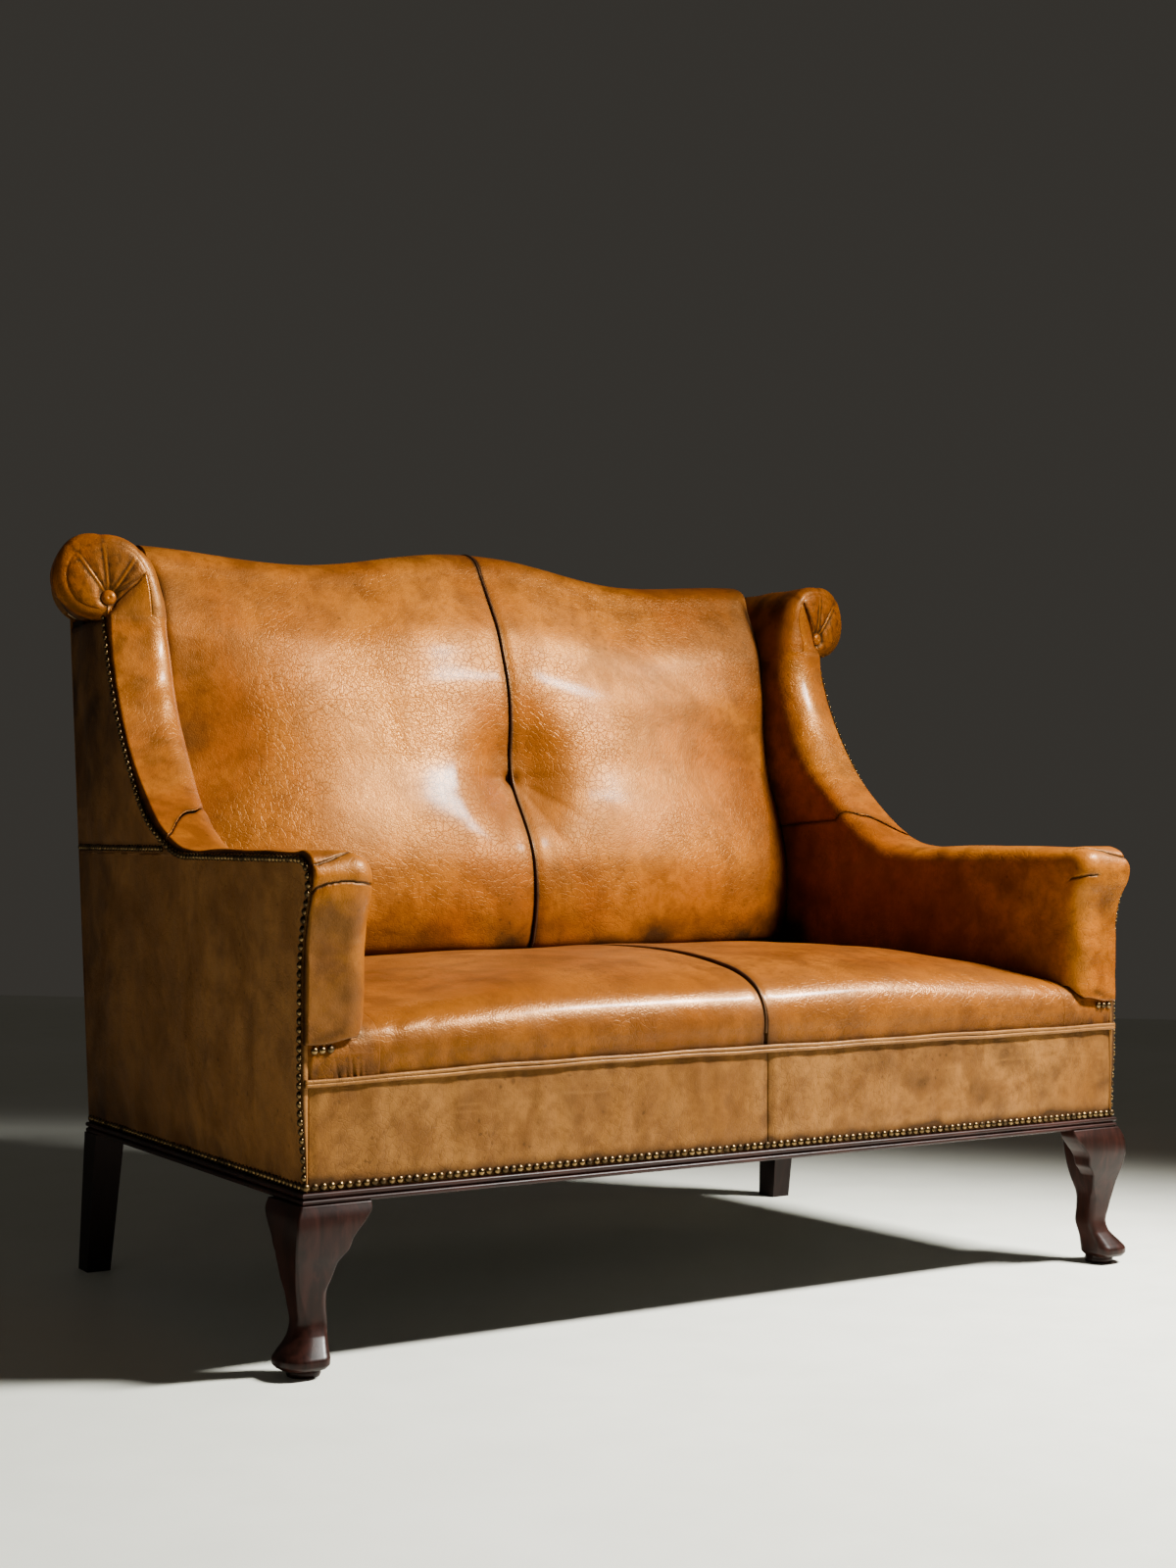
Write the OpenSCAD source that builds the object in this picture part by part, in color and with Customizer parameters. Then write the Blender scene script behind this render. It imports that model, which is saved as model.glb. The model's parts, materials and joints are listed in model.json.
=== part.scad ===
// Two-seat wing settee: beech frame on mahogany legs, sprung seat and back,
// leather cover with piped centre seams, scrolled wings with pleated faces.

/* [Seat frame] */
// Width across the front corners of the base moulding
frame_w = 1300; // [1150:10:1500]
// Depth of the seat frame, front moulding to the foot of the outside back
frame_d = 758; // [730:2:800]
// How far each side comes in over the depth of the frame
side_taper = 25; // [10:1:40]
// Height of the underside of the base moulding, which is the height of the legs
leg_h = 197; // [190:1:215]
// Height of the reeded base moulding
moulding_h = 14; // [12:1:18]
// Depth of the base moulding under the rails
moulding_d = 38; // [34:1:44]
// How far the leather stands behind the face of the moulding
moulding_reveal = 5; // [3:0.5:7]
// Thickness of the seat rails
rail_t = 30; // [26:1:34]
// Height of the seat rails
rail_h = 119; // [100:1:124]
// Thickness of the leather on the outside panels
leather_t = 3; // [2:0.5:4]
// Gap that soft pieces keep from their neighbours
soft_gap = 0.3; // [0.2:0.1:0.6]

/* [Seat] */
// Height of the front border from the moulding to the double welt
border_h = 129; // [124:1:136]
// Radius of each cord of the double welt
welt_r = 2.6; // [2:0.1:3]
// Rise of the seat crown above the double welt
seat_rise = 118; // [100:1:130]
// How much lower the seat is where it meets the arms
seat_side_drop = 30; // [10:1:40]
// Room from the back edge of the seat to the foot of the outside back
seat_set = 146; // [130:2:166]
// How far the centre seams lie to the right of the middle
seam_x = 15; // [-30:1:30]
// Radius of the piping in the centre seams
piping_r = 2.6; // [2:0.1:3]
// Depth of the piping's flange between the two leathers
piping_tail = 9; // [6:1:12]
// Height of the seat springs
spring_h = 172; // [150:1:180]
// Outer radius of the springs at their ends
spring_r = 42; // [34:1:48]
// Thickness of the spring wire
wire_d = 4; // [3:0.5:5]
// Width of a webbing strap
strap_w = 50; // [40:1:60]
// Thickness of a webbing strap
strap_t = 1.5; // [1:0.25:2]

/* [Arms] */
// Height of the nail line along the top of the arms
arm_h = 595; // [560:1:630]
// Thickness of the arms and wings, from the plane of the moulding
arm_t = 84; // [78:1:94]
// Height at which the arm facings end, above the seat rails
arm_foot = 50; // [46:1:60]
// Padding over the front and top edge of the frame
edge_pad = 22; // [18:1:26]
// Radius of the inner edge of arms and wings
edge_r = 28; // [20:1:34]
// Depth of the arm and wing frame boards
board_w = 44; // [38:1:50]
// Thickness of the arm and wing frame boards
board_t = 25; // [20:1:28]

/* [Wings] */
// Distance behind the front at which the wing starts to rise
wing_start = 370; // [330:2:400]
// Distance of the wing's top in front of the foot of the outside back
wing_set = 76; // [64:2:88]
// Depth of the scroll's centre below the top of the back
roll_drop = 84; // [65:1:105]
// Radius of the scroll at its pleated face
roll_r = 60; // [52:1:64]
// Radius of the scroll where it dies into the back
roll_rear_r = 52; // [46:1:56]
// How far the scroll's centre lies outside the wing at the front
roll_out = 13; // [8:1:22]
// How far the scroll's centre lies inside the wing's outer plane at the rear
roll_in = 30; // [22:1:34]
// Angle by which the pleated face turns outward
face_toe = 10; // [0:1:14]
// Radius of the wooden block inside the scroll
block_r = 38; // [32:1:40]
// Radius of the covered button
button_r = 10; // [8:0.5:12]
// Distance of the button below the scroll's centre
button_drop = 30; // [24:1:36]
// Distance of the button inward from the scroll's centre
button_in = 11; // [0:1:16]
// Depth of the pleated face in front of the scroll
face_dome = 13; // [9:1:16]

/* [Back] */
// Height of the back at the middle of its hump
back_h = 1065; // [1040:1:1090]
// Height of the hump over the dips beside it
hump_h = 36; // [20:1:50]
// Half the width of the hump
hump_w = 310; // [260:5:360]
// Rise of the top line from the dips to the wings
end_rise = 13; // [0:1:20]
// Rake of the back in degrees
rake = 7.5; // [5:0.1:10]
// Depth of the sewn-in dimple at the centre seam
dimple_d = 32; // [10:1:40]
// Height of the dimple
dimple_z = 705; // [680:1:730]
// Radius of the dimple
dimple_r = 78; // [60:1:95]
// How far the back falls away beside the wings
back_side_drop = 62; // [30:1:75]

/* [Legs] */
// Thickness of the brackets beside the knees
bracket_t = 27; // [22:1:30]
// Reach of the brackets from the corner of the moulding
bracket_reach = 88; // [82:1:94]
// Radius of the pad under each front foot
pad_r = 19.5; // [16:0.5:22]
// Height of the pad under each front foot
pad_h = 9; // [6:1:11]
// Thickness of the rear legs at the floor
rear_foot = 34; // [30:1:38]

/* [Hidden] */

BEECH = "burlywood";
MAHOGANY = [0.22, 0.08, 0.05];
TAN = [0.72, 0.42, 0.14];
TAN_SHADE = [0.62, 0.38, 0.15];
PIPING = [0.16, 0.08, 0.04];
JUTE = [0.66, 0.55, 0.36];
STEEL = [0.45, 0.45, 0.47];

$fn = 48;

// Places shared by all pieces. The front plane of the moulding is y = 0 while building,
// and placed() then centres the depth.
taper = atan(side_taper / frame_d);
rail_z = leg_h + moulding_h;
rail_top = rail_z + rail_h;
border_top = rail_z + border_h;
seat_z = border_top + 4 + seat_rise;
panel_in = moulding_reveal + leather_t;
arm_foot_z = rail_top + arm_foot;
back_foot_z = seat_z - 20;
post_d = 45;
post_front = leather_t + post_d;
seat_depth = frame_d - seat_set;
wing_top = frame_d - wing_set;
roll_z = back_h - roll_drop;
back_board_t = 25;
crest_low = roll_z - roll_rear_r + 2;
roll_front = wing_top - 7;
roll_bottom = roll_z - roll_r;
arm_front = 3;
arm_overhang = 23;
back_reach = back_y(back_h - 18);
mid_y = (back_reach - arm_overhang) / 2;

// x of the vertical plane that lies inset inside the right side, at depth y
function side_x(y, inset) = frame_w / 2 - y * tan(taper) - inset / cos(taper);
// y of the outer face of the back at height z, and of a plane d in front of it
function back_y(z) = frame_d + (z - rail_z) * tan(rake);
function back_in(z, d) = back_y(z) - d / cos(rake);
// Inner face of arms and wings
function inner_x(y) = side_x(y, arm_t);
function smooth(t) = let (u = max(0, min(1, t))) u * u * (3 - 2 * u);
function mix(a, b, t) = a + (b - a) * t;
function bezier(p, t) = pow(1 - t, 3) * p[0] + 3 * t * pow(1 - t, 2) * p[1]
    + 3 * t * t * (1 - t) * p[2] + pow(t, 3) * p[3];
function bezier_dir(p, t) = let (d = pow(1 - t, 2) * (p[1] - p[0]) + 2 * t * (1 - t) * (p[2] - p[1])
    + t * t * (p[3] - p[2])) d / norm(d);
// Set-in of a rounded edge of radius r at distance d from the edge
function corner(r, d) = d < r ? r - sqrt(r * r - pow(r - d, 2)) : 0;

module placed() translate([0, -mid_y, 0]) children();
module on_left() mirror([1, 0, 0]) children();
// Frame of the right side: x outward from the moulding's plane, y along the side
module on_side() translate([frame_w / 2, 0, 0]) rotate([0, 0, taper]) children();
// Slab between two distances from the side plane, with an outline in depth and height
module side_slab(from, to) on_side() translate([from, 0, 0]) rotate([90, 0, 90])
    linear_extrude(to - from) children();
// Frame of the raked back: y is the distance behind the outer face, z runs up the back
module on_back() translate([0, frame_d, rail_z]) rotate([-rake, 0, 0]) children();
// Slab that lies between two distances in front of the back's outer face
module back_slab(near, far) on_back() translate([0, -near, 0]) rotate([90, 0, 0])
    linear_extrude(far - near) children();
module ahead_of_back(d) difference() {
    children();
    on_back() translate([-frame_w, -d, -rail_z]) cube([2 * frame_w, 2 * frame_d, 2 * back_h]);
}
module between_sides(inset) intersection() {
    children();
    linear_extrude(2 * back_h) polygon([
        [-side_x(-100, inset), -100], [side_x(-100, inset), -100],
        [side_x(1.5 * frame_d, inset), 1.5 * frame_d], [-side_x(1.5 * frame_d, inset), 1.5 * frame_d]]);
}

// Closed body through rings of equally many points, which run counter-clockwise
// about the direction from the first ring to the last; flip is for the other sense.
// caps lists the pieces of an end face, each one seen whole from its first point
function turned(f) = [for (i = [0 : len(f) - 1]) f[i == 0 ? 0 : len(f) - i]];
function ladder(n) = [for (i = [0 : n / 2 - 2]) [i + 1, n - 2 - i, n - 1 - i, i]];
module loft(rings, caps = [], flip = false) {
    n = len(rings[0]);
    m = len(rings);
    ends = len(caps) > 0 ? caps : [[for (i = [0 : n - 1]) i]];
    sides = [for (k = [0 : m - 2], i = [0 : n - 1]) let (j = (i + 1) % n)
        each [[k * n + i, (k + 1) * n + i, (k + 1) * n + j], [k * n + i, (k + 1) * n + j, k * n + j]]];
    first = ends;
    last = [for (c = ends) [for (i = turned(c)) (m - 1) * n + i]];
    faces = concat(first, last, sides);
    polyhedron(points = [for (r = rings) each r], faces = flip ? [for (f = faces) turned(f)] : faces);
}

// Rails of the seat frame
module plan_rail(points, z, h) translate([0, 0, z]) linear_extrude(h) polygon(points);

module front_seat_rail() color(BEECH) placed() plan_rail([
    [-side_x(panel_in, panel_in), panel_in], [side_x(panel_in, panel_in), panel_in],
    [side_x(moulding_d, panel_in), moulding_d], [-side_x(moulding_d, panel_in), moulding_d]], rail_z, rail_h);

module side_rail() ahead_of_back(post_front) plan_rail([
    [side_x(moulding_d, panel_in), moulding_d], [side_x(frame_d, panel_in), frame_d],
    [side_x(frame_d, panel_in + rail_t), frame_d], [side_x(moulding_d, panel_in + rail_t), moulding_d]],
    rail_z, rail_h);
module side_seat_rail_right() color(BEECH) placed() side_rail();
module side_seat_rail_left() color(BEECH) placed() on_left() side_rail();

post_t = board_t + 9;
module across_back(z0, z1, near, far, inset) between_sides(inset) back_slab(near, far)
    polygon([[-frame_w / 2, (z0 - rail_z) / cos(rake)], [frame_w / 2, (z0 - rail_z) / cos(rake)],
        [frame_w / 2, (z1 - rail_z) / cos(rake)], [-frame_w / 2, (z1 - rail_z) / cos(rake)]]);
module back_seat_rail() color(BEECH) placed()
    across_back(rail_z, rail_top, leather_t, leather_t + rail_t, panel_in + post_t);

cross_rail_w = 42;
cross_rail_h = 45;
module centre_cross_rail() color(BEECH) placed() ahead_of_back(leather_t + rail_t)
    translate([-cross_rail_w / 2, moulding_d, rail_top - cross_rail_h])
    cube([cross_rail_w, frame_d, cross_rail_h]);

// Triangular glue blocks in the four corners of the seat frame
block_leg = 62;
block_end = 14;
block_h = 80;
module corner_block(y, y2) let (x = side_x(y, panel_in + rail_t), x2 = side_x(y2, panel_in + rail_t))
    plan_rail([[x, y], [x2, y2], [x2 - block_end, y2], [x - block_leg, y + block_end], [x - block_leg, y]],
        rail_top - block_h, block_h);
module corner_blocks() color(BEECH) placed() for (s = [0, 1]) mirror([s, 0, 0]) {
    corner_block(moulding_d, moulding_d + block_leg);
    intersection() {
        ahead_of_back(leather_t + rail_t) translate([0, frame_d / 2, rail_top - block_h])
            cube([frame_w / 2, frame_d, block_h]);
        between_sides(panel_in + post_t) plan_rail([
            [side_x(frame_d, panel_in + post_t), frame_d + 30],
            [side_x(frame_d, panel_in + post_t) - block_leg, frame_d + 30],
            [side_x(frame_d, panel_in + post_t) - block_leg, back_in(rail_top, leather_t + rail_t) - 26],
            [side_x(frame_d, panel_in + post_t) + 3, back_in(rail_top - block_h, leather_t + rail_t) - block_leg]],
            rail_top - block_h, block_h);
    }
}

// Back posts, each in one piece with its raked, tapered rear leg
rear_leg_t = post_t + panel_in;
module rear_leg() {
    top_front = frame_d - 45;
    top_back = frame_d + 4;
    foot_front = frame_d - 16;
    splay = 2;
    foot = [[splay, foot_front], [splay, foot_front + rear_foot + 4],
        [splay - rear_foot, foot_front + rear_foot + 4], [splay - rear_foot, foot_front]];
    top = [[0, top_front], [0, top_back], [-rear_leg_t, top_back], [-rear_leg_t, top_front]];
    on_side() loft([[for (p = foot) [p[0], p[1], 0]], [for (p = top) [p[0], p[1], leg_h]]]);
}
module post() intersection() {
    side_slab(-panel_in - post_t, -panel_in)
        polygon([[frame_d / 2, leg_h - 1], [2 * frame_d, leg_h - 1], [2 * frame_d, crest_low],
            [frame_d / 2, crest_low]]);
    back_slab(leather_t, post_front)
        polygon([[0, -rail_z], [frame_w, -rail_z], [frame_w, back_h], [0, back_h]]);
}
module back_post() {
    rear_leg();
    post();
}
module back_post_right() color(MAHOGANY) placed() back_post();
module back_post_left() color(MAHOGANY) placed() on_left() back_post();

// Top line of the back as a height for each distance from the middle
top_dip = back_h - hump_h;
function top_line(x) = let (a = abs(x))
    top_dip + (a < hump_w ? hump_h * (1 + cos(180 * a / hump_w)) / 2 : 0)
    + end_rise * smooth((a - hump_w) / (frame_w / 2 - 110 - hump_w));
function up_back(z) = (z - rail_z) / cos(rake);
lip = 18;
crest_set = 24;
rear_roll_x = side_x(back_y(roll_z), roll_in);
crest_half = side_x(back_y(roll_z), arm_t) - 20;
module top_outline(low, drop, half, n = 28) polygon(concat(
    [[-half, up_back(low)], [half, up_back(low)]],
    [for (i = [n : -1 : 0]) let (x = mix(-half, half, i / n)) [x, up_back(top_line(x) - drop)]]));
// Crest rail, sawn to the hump, with round ends behind the scrolls
module crest_rail() color(BEECH) placed() back_slab(leather_t, leather_t + back_board_t) {
    difference() {
        union() {
            top_outline(crest_low, lip + crest_set, crest_half);
            for (s = [-1, 1]) {
                translate([s * rear_roll_x, up_back(roll_z)]) circle(roll_rear_r - leather_t - soft_gap);
                translate([s * (crest_half - 1) - (s < 0 ? 60 : 0), up_back(crest_low)]) square([60, 50]);
            }
        }
        translate([-frame_w, up_back(crest_low) - 200]) square([2 * frame_w, 200]);
    }
}

tack_low = seat_z - 62;
tack_h = 45;
module back_tacking_rail() color(BEECH) placed()
    across_back(tack_low, tack_low + tack_h, leather_t, leather_t + back_board_t, panel_in + post_t);
upright_w = 50;
module back_centre_upright() color(BEECH) placed() back_slab(leather_t, leather_t + back_board_t)
    translate([-upright_w / 2, up_back(tack_low + tack_h)])
    square([upright_w, up_back(crest_low) - up_back(tack_low + tack_h)]);

// Arm frame: stump, top rail and tacking rail on each side
stump_y = arm_front + edge_pad + 1;
arm_rail_top = arm_h - edge_pad - soft_gap;
arm_rail_h = 28;
module stump() side_slab(-panel_in - board_t, -panel_in)
    polygon([[stump_y, rail_top], [stump_y + board_w, rail_top],
        [stump_y + board_w, arm_rail_top - arm_rail_h], [stump_y, arm_rail_top - arm_rail_h]]);
module arm_stump_right() color(BEECH) placed() stump();
module arm_stump_left() color(BEECH) placed() on_left() stump();
module arm_rail() ahead_of_back(post_front) side_slab(-panel_in - board_t, -panel_in)
    polygon([[stump_y, arm_rail_top - arm_rail_h], [2 * frame_d, arm_rail_top - arm_rail_h],
        [2 * frame_d, arm_rail_top], [stump_y, arm_rail_top]]);
module arm_rail_right() color(BEECH) placed() arm_rail();
module arm_rail_left() color(BEECH) placed() on_left() arm_rail();
arm_tack_h = 30;
module arm_tacking_rail() ahead_of_back(post_front) side_slab(-panel_in - board_t, -panel_in)
    polygon([[stump_y + board_w, arm_foot_z], [2 * frame_d, arm_foot_z],
        [2 * frame_d, arm_foot_z + arm_tack_h], [stump_y + board_w, arm_foot_z + arm_tack_h]]);
module arm_tacking_rail_right() color(BEECH) placed() arm_tacking_rail();
module arm_tacking_rail_left() color(BEECH) placed() on_left() arm_tacking_rail();

// Front edge of the wing, seen from the side, from the arm's top to the scroll
wing_curve = [[wing_start, arm_h], [wing_start + 115, arm_h + 2],
    [wing_top - 47, arm_h + 0.46 * (roll_bottom - arm_h)], [wing_top, roll_bottom]];
wing_steps = 15;
split_step = 4;
function wing_point(i) = bezier(wing_curve, i / wing_steps);
function wing_normal(i) = let (d = bezier_dir(wing_curve, i / wing_steps)) [-d[1], d[0]];
function wing_offset(i, r) = wing_point(i) + r * wing_normal(i);
module wing_upright() side_slab(-panel_in - board_t, -panel_in) intersection() {
    polygon(concat(
        [for (i = [split_step - 1 : wing_steps]) wing_offset(i, -edge_pad - soft_gap)],
        [[wing_offset(wing_steps, -edge_pad - soft_gap)[0], roll_z - block_r - 2],
         [wing_offset(wing_steps, -edge_pad - board_w)[0], roll_z - block_r - 2]],
        [for (i = [wing_steps : -1 : split_step - 1]) wing_offset(i, -edge_pad - board_w)]));
    translate([wing_start, arm_rail_top]) square([frame_d, frame_d]);
}
module wing_upright_right() color(BEECH) placed() wing_upright();
module wing_upright_left() color(BEECH) placed() on_left() wing_upright();

// Scroll: its centre runs from outside the wing at the front into the back
roll_len = back_in(roll_z, leather_t + back_board_t) - roll_front;
roll_swing = atan((roll_out + roll_in) / roll_len);
function roll_c(y) = mix(roll_out, -roll_in, (y - roll_front) / roll_len);
function roll_rad(y) = mix(roll_r, roll_rear_r, (y - roll_front) / roll_len);
module scroll_block() ahead_of_back(leather_t + back_board_t) on_side()
    translate([roll_out, roll_front, roll_z]) rotate([-90, 0, roll_swing])
    translate([0, 0, 6]) cylinder(r1 = block_r, r2 = block_r - 4, h = roll_len + 40);
module scroll_block_right() color(BEECH) placed() scroll_block();
module scroll_block_left() color(BEECH) placed() on_left() scroll_block();

// Cabriole front legs. Each row holds a height, how far the outer face stands outside the
// side plane, the front face's place, the section's width, and the radii of its front arris
// and of its other corners
leg_rows = [
    [leg_h, 3, -2, 58, 3, 3], [leg_h - 14, 9, -7, 63, 3, 3.5], [leg_h - 32, 11, -8.5, 64, 3, 4],
    [leg_h - 57, 9.5, -3, 58, 3, 6], [leg_h - 77, 6, 4, 49.5, 4, 9], [leg_h - 97, 3, 9, 41.5, 5, 13],
    [80, -0.5, 11.5, 38, 8, 15], [58, -3, 11.5, 37.5, 14, 17.5], [46, 1.5, 7, 40, 19, 19.5],
    [38, 8, 1, 45, 22, 22], [30, 16, -5.5, 52, 25.5, 25.5], [22, 22, -11, 57.4, 28.6, 28.6],
    [16, 22, -11, 57, 28.4, 28.4], [11, 18, -7, 49, 24.4, 24.4]];
function leg_at(z, k) = lookup(z, [for (r = leg_rows) [r[0], r[k]]]);
arc_steps = 5;
// Rounded square ring, counter-clockwise from the rear outer corner
function leg_ring(row) = let (x1 = frame_w / 2 + row[1], y0 = row[2], w = row[3], ra = row[4], ro = row[5])
    [for (q = [[x1, y0 + w, -1, -1, 0, ro], [x1 - w, y0 + w, 1, -1, 90, ro],
               [x1 - w, y0, 1, 1, 180, ro], [x1, y0, -1, 1, 270, ra]])
        for (i = [0 : arc_steps]) let (a = q[4] + 90 * i / arc_steps)
            [q[0] + q[2] * q[5] + q[5] * cos(a), q[1] + q[3] * q[5] + q[5] * sin(a), row[0]]];
foot_c = [frame_w / 2 + 18 - 24.5, -7 + 24.5];
module front_leg() {
    loft([for (r = leg_rows) leg_ring(r)], flip = true);
    translate([foot_c[0], foot_c[1], 0]) cylinder(r1 = pad_r - 0.5, r2 = pad_r, h = pad_h + 2.5);
}
module front_leg_right() color(MAHOGANY) placed() front_leg();
module front_leg_left() color(MAHOGANY) placed() on_left() front_leg();

// Scalloped brackets beside each knee, cut from two outlines
bracket_low = leg_h - 77;
knee_z = [for (i = [0 : 4]) leg_rows[i][0]];
module bracket_outline(inner) difference() {
    polygon(concat([[-bracket_reach, leg_h], [-bracket_reach, bracket_low]],
        [for (i = [4 : -1 : 0]) [inner[i], knee_z[i]]]));
    translate([-bracket_reach - 12, leg_h - 37]) circle(28);
    translate([-bracket_reach, leg_h - 85]) circle(44);
}
module front_bracket() intersection() {
    translate([frame_w / 2, bracket_t, 0]) rotate([90, 0, 0]) linear_extrude(2 * bracket_t)
        bracket_outline([for (z = knee_z) leg_at(z, 1) - leg_at(z, 3)]);
    translate([0, 0, 0]) rotate([90, 0, 90]) linear_extrude(frame_w)
        polygon(concat([for (z = knee_z) [leg_at(z, 2), z]], [[bracket_t, bracket_low], [bracket_t, leg_h]]));
}
module side_bracket() intersection() {
    translate([frame_w / 4, 0, 0]) rotate([90, 0, 90]) linear_extrude(frame_w)
        mirror([1, 0]) bracket_outline([for (z = knee_z) -leg_at(z, 2) - leg_at(z, 3)]);
    translate([frame_w / 2, bracket_reach + 20, 0]) rotate([90, 0, 0]) linear_extrude(bracket_reach + 20)
        polygon(concat([for (z = knee_z) [leg_at(z, 1), z]], [[-bracket_t, bracket_low], [-bracket_t, leg_h]]));
}
module brackets() {
    front_bracket();
    side_bracket();
}
module leg_brackets_right() color(MAHOGANY) placed() brackets();
module leg_brackets_left() color(MAHOGANY) placed() on_left() brackets();

// Base moulding with two reeds on its face
reed_r = moulding_h / 4.6;
module moulding_profile(len) difference() {
    union() {
        translate([reed_r, 0]) square([moulding_d - reed_r, moulding_h]);
        for (z = [reed_r, moulding_h - reed_r]) translate([reed_r, z]) circle(reed_r);
        translate([0.8, reed_r]) square([reed_r, 0.01]);
    }
    translate([reed_r, moulding_h / 2]) rotate(45) square(1.3, center = true);
}
module moulding_front() color(MAHOGANY) placed() intersection() {
    translate([-frame_w / 2, 0, leg_h]) rotate([90, 0, 90]) linear_extrude(frame_w) moulding_profile();
    plan_rail([[-frame_w / 2, 0], [frame_w / 2, 0], [side_x(moulding_d, moulding_d), moulding_d],
        [-side_x(moulding_d, moulding_d), moulding_d]], leg_h, moulding_h);
}
module side_moulding() ahead_of_back(0) difference() {
    intersection() {
        on_side() translate([0, -20, leg_h]) rotate([90, 0, 180]) linear_extrude(frame_d + 40) moulding_profile();
        plan_rail([[frame_w / 2, 0], [side_x(frame_d, 0), frame_d], [side_x(frame_d, moulding_d), frame_d],
            [side_x(moulding_d, moulding_d), moulding_d]], leg_h, moulding_h);
    }
    side_slab(-moulding_d - 10, -panel_in) polygon([[frame_d - 48, 0], [frame_d + 50, 0],
        [frame_d + 50, rail_top], [frame_d - 48, rail_top]]);
}
module moulding_right() color(MAHOGANY) placed() side_moulding();
module moulding_left() color(MAHOGANY) placed() on_left() side_moulding();

// Springing: webbing between the rails, coil springs on it, hessian over them
web_z = rail_z + 2;
springs_z = web_z + 2 * strap_t;
hessian_z = springs_z + spring_h;
cross_straps = 9;
long_straps = 4;
strap_x = frame_w / 2 - 2.9 * strap_w;
seat_in = panel_in + rail_t;
module seat_webbing() color(JUTE) placed() {
    for (i = [0 : long_straps - 1])
        let (y = mix(moulding_d + strap_w, frame_d - 3 * strap_w + 10, i / (long_straps - 1)), y2 = y + strap_w)
        plan_rail([[-side_x(y, seat_in), y], [side_x(y, seat_in), y],
            [side_x(y2, seat_in), y2], [-side_x(y2, seat_in), y2]], web_z, strap_t);
    for (i = [0 : cross_straps - 1]) let (x = mix(-strap_x, strap_x, i / (cross_straps - 1)))
        ahead_of_back(leather_t + rail_t) translate([x - strap_w / 2, moulding_d, web_z + strap_t])
        cube([strap_w, frame_d, strap_t]);
}

// Hour-glass spring standing on z = 0
function coil_r(t, r) = r * (0.68 + 0.32 * pow(abs(2 * t - 1), 1.3));
module coil_spring(h, r, turns, per_turn = 8) {
    n = turns * per_turn;
    w = wire_d * 0.6;
    loft([for (i = [0 : n]) let (t = i / n, a = 360 * i / per_turn, c = coil_r(t, r - wire_d / 2),
            z = mix(wire_d / 2, h - wire_d / 2, smooth((t - 0.08) / 0.84)))
        [for (f = [45 : 90 : 315]) [(c + w * cos(f)) * cos(a), (c + w * cos(f)) * sin(a), z + w * sin(f) * 0.85]]],
        flip = true);
}
spring_cols = 5;
spring_rows = 2;
spring_x = frame_w / 2 - arm_t - 3 * spring_r;
module seat_springs() color(STEEL) placed()
    for (i = [0 : spring_cols - 1], j = [0 : spring_rows - 1])
        let (aside = i == 2 ? spring_r + cross_rail_w / 2 + 4 : 0)
        translate([mix(-spring_x, spring_x, i / (spring_cols - 1)) + aside,
            mix(moulding_d + 3 * spring_r, seat_depth - 3 * spring_r, j / (spring_rows - 1)), springs_z])
            coil_spring(spring_h, spring_r, 4);
hessian_in = arm_t + 6;
hessian_front = moulding_d + 24;
hessian_back = seat_depth - 12;
module seat_hessian() color(JUTE) placed() plan_rail([
    [-side_x(hessian_front, hessian_in), hessian_front], [side_x(hessian_front, hessian_in), hessian_front],
    [side_x(hessian_back, hessian_in), hessian_back], [-side_x(hessian_back, hessian_in), hessian_back]],
    hessian_z, strap_t);

back_web = leather_t + back_board_t;
module back_webbing() color(JUTE) placed() {
    low = up_back(tack_low + 8);
    high = up_back(crest_low + 24);
    for (i = [-2 : 2]) back_slab(back_web, back_web + strap_t)
        translate([(spring_x + strap_w / 2) * i / 2 - strap_w / 2, low]) square([strap_w, high - low]);
    for (i = [0 : 2]) let (z = mix(tack_low + 70, crest_low - 90, i / 2))
        between_sides(arm_t + 4) back_slab(back_web + strap_t, back_web + 2 * strap_t)
            translate([-frame_w / 2, up_back(z)]) square([frame_w, strap_w]);
}
back_spring_h = 66;
pad_back = back_web + 2 * strap_t + back_spring_h + soft_gap;
module back_springs() color(STEEL) placed()
    for (i = [0 : 3], j = [0, 1]) on_back()
        translate([mix(-spring_x, spring_x, i / 3), -back_web - 2 * strap_t,
            up_back(mix(tack_low + tack_h + 1.2 * spring_r, crest_low - 5 * spring_r, j))])
        rotate([90, 0, 0]) coil_spring(back_spring_h, spring_r - 4, 3);

// Seat leather and stuffing. Each row of the crown: share of the depth, height as a share of
// the rise above the welt, and share of the side drop
seat_base = border_top + 4;
seat_crown = [[0.000, 0.000, 0.0], [0.000, 0.130, 0.1], [-0.002, 0.250, 0.2], [0.000, 0.370, 0.3],
    [0.008, 0.500, 0.4], [0.024, 0.620, 0.6], [0.055, 0.730, 0.8], [0.100, 0.820, 1.0], [0.165, 0.890, 1.1],
    [0.250, 0.950, 1.1], [0.340, 0.985, 1.1], [0.460, 1.000, 1.0], [0.600, 0.990, 0.9], [0.740, 0.945, 0.8],
    [0.860, 0.880, 0.6], [0.940, 0.810, 0.4], [0.985, 0.730, 0.2], [1.000, 0.640, 0.1]];
seat_front = welt_r + 2;
function seat_y(k) = seat_front + k * (seat_depth - seat_front);
under_seat = hessian_z + strap_t + soft_gap;
function seat_section(u) = concat(
    [[moulding_d + 22, under_seat], [moulding_d + 8, seat_base + soft_gap]],
    [for (r = seat_crown)
        [seat_y(r[0]), seat_base + soft_gap + seat_rise * r[1] - seat_side_drop * r[2] * pow(u, 3.2)]],
    [[seat_depth - 6, under_seat]]);
seam_half = piping_r + soft_gap;
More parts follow.
